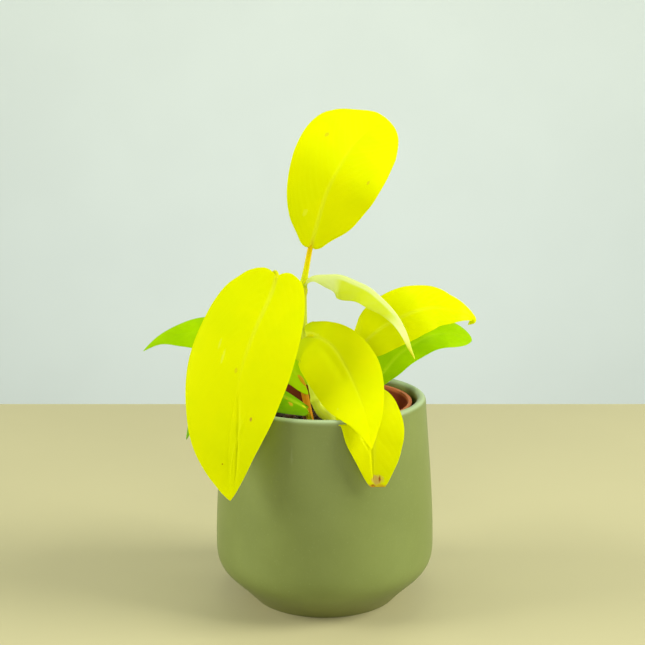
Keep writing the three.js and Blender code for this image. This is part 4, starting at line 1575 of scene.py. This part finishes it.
print(len(STALKS), "stalks")

# %% [markdown]
# ### The side shoot
#
# Low beside the stem lies a thick pale shoot that has not opened yet. It is swept like a stalk, but
# ends in a blunt point.

# %% Grow the side shoot
shoot_bends = [(-3, -26, -16), (-8, -27, -14), (-13, -27, -11)]
shoot = Path([*rooted(1, -25), *[over_pot(*bend) for bend in shoot_bends]])
points, faces, attributes = stalk_mesh(shoot, [3.6, 3.6, 3.0, 0.7], sheath=0.1, channel=0.1)
skin = STALK_FINISHES["shoot"]
piece("low_shoot", points, faces, skin, "stem_green", ["side_shoot"], attributes)
print("shoot length", round(shoot.length / MM), "mm")

# %% [markdown]
# ### Dried sheaths
#
# Each stalk leaves a papery sheath behind when it grows. It is a small blade that has curled
# tightly and turned brown, so the leaf builder serves again with a strong curl and a wavy edge.

# %% Dried sheaths
PAPER_DARK = (0.2, 0.06, 0.018)
PAPER_TAN = (0.5, 0.24, 0.09)
SHEATH_WIDTHS = [(0, 3.2, 3.0), (0.3, 4, 4.2), (0.6, 3.2, 3.6), (0.85, 1.6, 2.4), (1, 0.4, 0.5)]
SHEATH_FORM = {"curl": (1.3, 1.5), "wave": 0.9, "waves": 5.0, "fold": 0.0}
paper = Finish("dried_sheath_paper")
grain = paper.noise(320, 4, stretch=(1, 1, 0.25))
paper_colour = paper.blend(grain.rise(0.35, 0.7), PAPER_DARK, PAPER_TAN)
paper_sheen = paper.shine(paper_colour, grain * 0.2 + 0.6, paper.bump(grain, 0.3 * MM, 0.8))
paper_material = paper.glowing(0.25, paper_sheen, paper_colour)
# sheath: (foot, bends from the foot, which way its upper side faces at foot and tip)
SHEATHS = {
    "dried_sheath_1": ((17, -6), [(0, 0, 0.8), (2, -1, 8), (5, -2, 15), (10, -2, 20)],
                       [(1, 0, 0.2), (0.8, 0, -0.6)]),
    "dried_sheath_2": ((-14, -4), [(0, 0, 0.8), (-2, 1, 7), (-5, 2, 13), (-9, 3, 16)],
                       [(-1, 0, 0.2), (-0.8, 0, -0.6)]),
}
for name, (place, bends, face) in SHEATHS.items():
    x, y = metres(place)
    foot = np.array([x, y, float(soil_height(x, y))])
    rib = Path([foot + metres(bend) for bend in bends])
    sheath = {"face": face, "outline": {"widths": SHEATH_WIDTHS}, "form": SHEATH_FORM,
              "rib_height": 0.2, "veins": 2.0}
    points, faces, attributes = blade_mesh(sheath, rib, 60, 14)
    piece(name + "_paper", points, faces, paper_material, "dried_sheath", [name], attributes)
print(len(SHEATHS), "dried sheaths")

# %% [markdown]
# ## Stage
#
# A plain pale tabletop ends a little behind the plant, and a plain wall stands farther off, so that
# the plant can be seen from the back too. The table also ends short of the side lamps, so all of it
# is lit. They are not part of the plant.

# %% Table and wall
TABLE_COLOUR = (0.5, 0.45, 0.25)
WALL_COLOUR = (0.73, 0.785, 0.745)
TABLE_END = 0.513
TABLE_SIDE = 1.25
WALL_SIDE = 4.0
WALL_FOOT, WALL_TOP = -2.0, 3.0


def plain(name, colour, roughness):
    """A matt finish with hardly visible clouds."""
    surface = Finish(name)
    darker = tuple(part * 0.96 for part in colour)
    tone = surface.blend(surface.noise(6, 2).rise(0.3, 0.7) * 0.5, colour, darker)
    return surface.finished(surface.shine(tone, roughness, Specular_IOR_Level=0.2))


def sheet(name, corners, material):
    """One flat face."""
    mesh = bpy.data.meshes.new(name)
    mesh.from_pydata(corners, [], [(0, 1, 2, 3)])
    mesh.materials.append(material)
    placed(name, mesh)


def oblong(side, low, high):
    """Corners of an oblong that reaches to a side left and right, and from low to high."""
    return [(-side, low), (side, low), (side, high), (-side, high)]


table = [(x, y, 0) for x, y in oblong(TABLE_SIDE, -TABLE_SIDE, TABLE_END)]
sheet("table", table, plain("pale_table", TABLE_COLOUR, 0.6))
wall = [(x, WALL_BACK, z) for x, z in oblong(WALL_SIDE, WALL_FOOT, WALL_TOP)]
sheet("wall", wall, plain("pale_wall", WALL_COLOUR, 0.8))
print("the table ends", TABLE_END, "m behind the pot's axis and the wall stands at", WALL_BACK, "m")

# %% [markdown]
# ## Sizes
#
# The looks must not change the object's size.
